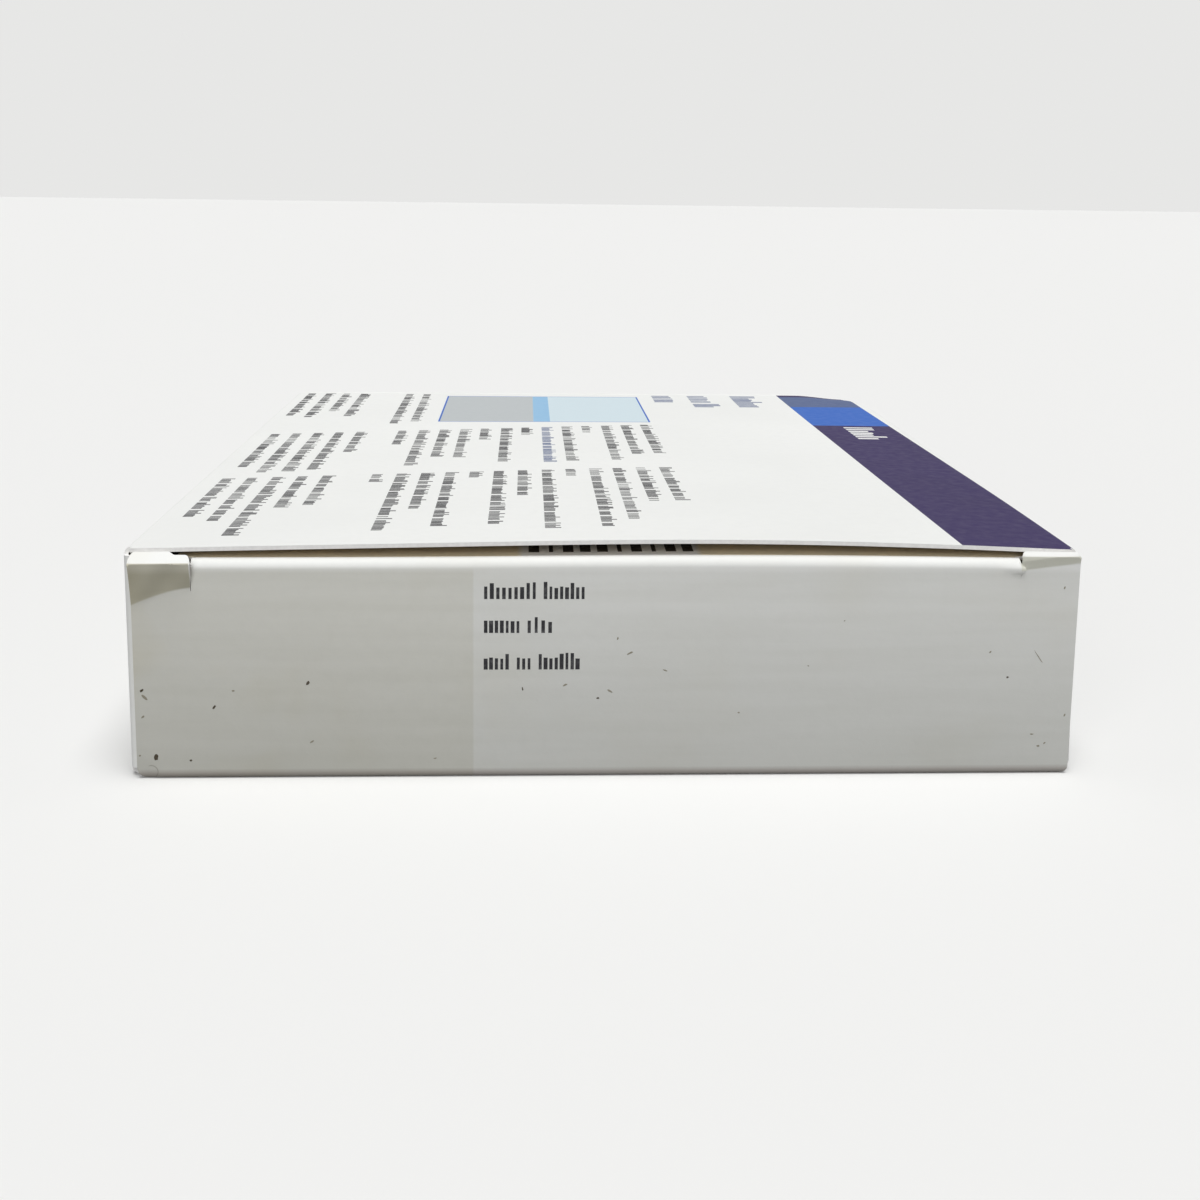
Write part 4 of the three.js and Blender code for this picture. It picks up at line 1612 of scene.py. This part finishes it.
class CARTON_OT_strips(bpy.types.Operator):
    """Builds the foil strips with their pockets"""

    bl_idname = "carton.strips"
    bl_label = "Foil strips"

    def execute(self, context):
        tree = pocket_tree()
        for node in sorted(name for name in frame["nodes"] if name.startswith("foil_strip")):
            low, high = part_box(node)
            centre = (low + high) / 2
            pocket = pocket_object(POCKET_RADIUS, high.z - low.z - STRIP_CARD, POCKET_SKIRT)
            pocket.data.transform(Matrix.Translation((centre.x, centre.y, low.z + STRIP_CARD)))
            made = strip_card(f"{node}_foil", low, high, STRIP_CARD)
            modifier = made.modifiers.new("Pockets", "NODES")
            modifier.node_group = tree
            values = {"Pocket": pocket, "Foil": finish_of("rolled_foil"),
                      "Across": POCKETS_ACROSS, "Step X": (high.x - low.x) / POCKETS_ACROSS,
                      "Along": POCKETS_ALONG, "Step Y": (high.y - low.y) / POCKETS_ALONG}
            set_inputs(modifier, **values)
            remesh_from_modifiers(made)
            bpy.data.objects.remove(pocket)
            smooth(made, 35)
            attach(made, "carton")
            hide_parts(node)
        return {"FINISHED"}


class CARTON_OT_leaflet(bpy.types.Operator):
    """Builds the folded leaflet with its layers"""

    bl_idname = "carton.leaflet"
    bl_label = "Leaflet"

    def execute(self, context):
        low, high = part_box("folded_leaflet")
        gap = (high.z - low.z) / (2 * LEAFLET_LAYERS - 1)
        fold = low.y + (high.z - low.z) / 2
        outline = [(high.y, low.z)]
        for layer in range(LEAFLET_LAYERS):
            z = low.z + 2 * layer * gap
            inset = LEAFLET_STAGGER * ((layer * 3) % 4)
            outline.append((high.y - inset, z))
            outline.append((high.y - inset, z + gap))
            if layer < LEAFLET_LAYERS - 1:
                outline.append((fold + LEAFLET_FOLD_GAP, z + gap))
                outline.append((fold + LEAFLET_FOLD_GAP, z + 2 * gap))
        radius = (high.z - low.z) / 2
        outline.extend(arc_points((fold, low.z + radius), radius, 90, 270, 14))
        work = bmesh.new()
        face = work.faces.new([work.verts.new((low.x, y, z)) for y, z in outline[1:]])
        raised = bmesh.ops.extrude_face_region(work, geom=[face])["geom"]
        moved = [v for v in raised if isinstance(v, bmesh.types.BMVert)]
        bmesh.ops.translate(work, verts=moved, vec=(high.x - low.x, 0, 0))
        bmesh.ops.recalc_face_normals(work, faces=work.faces)
        made = object_from(work, "leaflet_sheets", finish_of("leaflet_paper"))
        smooth(made, 30)
        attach(made, "carton")
        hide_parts("folded_leaflet")
        return {"FINISHED"}


# Stage


def broad_lamp(name, strength, place):
    """A broad lamp far away, which lights the whole floor evenly."""
    height, side, spread = (math.radians(angle) for angle in place)
    data = bpy.data.lights.new(name, "SUN")
    data.energy = strength
    data.angle = spread
    lamp = bpy.data.objects.new(name, data)
    source = Vector((math.cos(height) * math.sin(side), -math.cos(height) * math.cos(side), math.sin(height)))
    lamp.rotation_euler = (-source).to_track_quat("-Z", "Y").to_euler()
    bpy.context.scene.collection.objects.link(lamp)


class CARTON_OT_stage(bpy.types.Operator):
    """Sets the camera, the lamps, the world and the floor"""

    bl_idname = "carton.stage"
    bl_label = "Stage"

    def execute(self, context):
        settings = context.scene.carton_stage
        self.camera(settings)
        self.floor(settings)
        self.world(settings)
        broad_lamp("high_lamp", settings.high_lamp, HIGH_LAMP_PLACE)
        broad_lamp("front_lamp", settings.front_lamp, FRONT_LAMP_PLACE)
        context.scene.view_settings.view_transform = "Standard"
        return {"FINISHED"}

    def camera(self, settings):
        data = bpy.data.cameras.new("camera")
        data.lens = settings.lens
        data.sensor_width = 36.0
        data.shift_y = settings.shift_y
        data.clip_start = 0.01
        data.clip_end = 20.0
        forward = Vector((math.sin(settings.yaw) * math.cos(settings.pitch),
                          math.cos(settings.yaw) * math.cos(settings.pitch), -math.sin(settings.pitch)))
        level = Vector((math.cos(settings.yaw), -math.sin(settings.yaw), 0.0))
        upward = level.cross(forward)
        right = math.cos(settings.roll) * level + math.sin(settings.roll) * upward
        up = right.cross(forward)
        turn = Matrix((right, up, -forward)).transposed()
        camera = bpy.data.objects.new("camera", data)
        camera.matrix_world = Matrix.Translation(
            (settings.camera_x, END_Y - settings.camera_back, settings.camera_z)) @ turn.to_4x4()
        bpy.context.scene.collection.objects.link(camera)
        bpy.context.scene.camera = camera

    def floor(self, settings):
        work = bmesh.new()
        bmesh.ops.create_grid(work, x_segments=2, y_segments=2, size=6.0)
        surface = Surface("floor_paint", 0.9)
        seen = surface.node("ShaderNodeLightPath")
        direct = surface.math("MAXIMUM", seen.outputs["Is Camera Ray"], seen.outputs["Is Glossy Ray"])
        surface.colour(surface.mix(direct, [c * 0.18 for c in settings.floor], settings.floor))
        floor = object_from(work, "floor", surface.material)

    def world(self, settings):
        world = bpy.data.worlds.new("studio")
        world.use_nodes = True
        bpy.context.scene.world = world
        nodes, links = world.node_tree.nodes, world.node_tree.links
        background = nodes["Background"]
        background.inputs["Color"].default_value = (1, 1, 1, 1)
        background.inputs["Strength"].default_value = settings.sky
        shown = nodes.new("ShaderNodeBackground")
        shown.inputs["Color"].default_value = (*settings.floor, 1)
        shown.inputs["Strength"].default_value = settings.backdrop / settings.floor[0]
        path = nodes.new("ShaderNodeLightPath")
        seen = path.outputs["Is Camera Ray"]
        for ray in ("Is Glossy Ray", "Is Transmission Ray"):
            either = nodes.new("ShaderNodeMath")
            either.operation = "MAXIMUM"
            links.new(seen, either.inputs[0])
            links.new(path.outputs[ray], either.inputs[1])
            seen = either.outputs[0]
        choice = nodes.new("ShaderNodeMixShader")
        links.new(seen, choice.inputs[0])
        links.new(background.outputs[0], choice.inputs[1])
        links.new(shown.outputs[0], choice.inputs[2])
        links.new(choice.outputs[0], nodes["World Output"].inputs["Surface"])


class CARTON_PT_panel(bpy.types.Panel):
    """Lists the steps that build the carton"""

    bl_label = "Medicine carton"
    bl_idname = "CARTON_PT_panel"
    bl_space_type = "VIEW_3D"
    bl_region_type = "UI"
    bl_category = "Carton"

    def draw(self, context):
        for operator in OPERATORS:
            self.layout.operator(operator.bl_idname)


GROUPS = {"carton_sizes": CartonSizes, "carton_prints": PrintSizes,
          "carton_colours": BoardColours, "carton_stage": StageSettings}
OPERATORS = (CARTON_OT_carton, CARTON_OT_near_end, CARTON_OT_far_end,
             CARTON_OT_top_print, CARTON_OT_end_print, CARTON_OT_specks,
             CARTON_OT_strips, CARTON_OT_leaflet, CARTON_OT_stage)


def register():
    for kind in (*GROUPS.values(), *OPERATORS, CARTON_PT_panel):
        bpy.utils.register_class(kind)
    for name, kind in GROUPS.items():
        setattr(bpy.types.Scene, name, PointerProperty(type=kind))


def unregister():
    for name in GROUPS:
        delattr(bpy.types.Scene, name)
    for kind in reversed((*GROUPS.values(), *OPERATORS, CARTON_PT_panel)):
        bpy.utils.unregister_class(kind)


def main():
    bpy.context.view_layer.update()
    register()
    for operator in OPERATORS:
        group, name = operator.bl_idname.split(".")
        getattr(getattr(bpy.ops, group), name)()


if __name__ == "__main__":
    main()
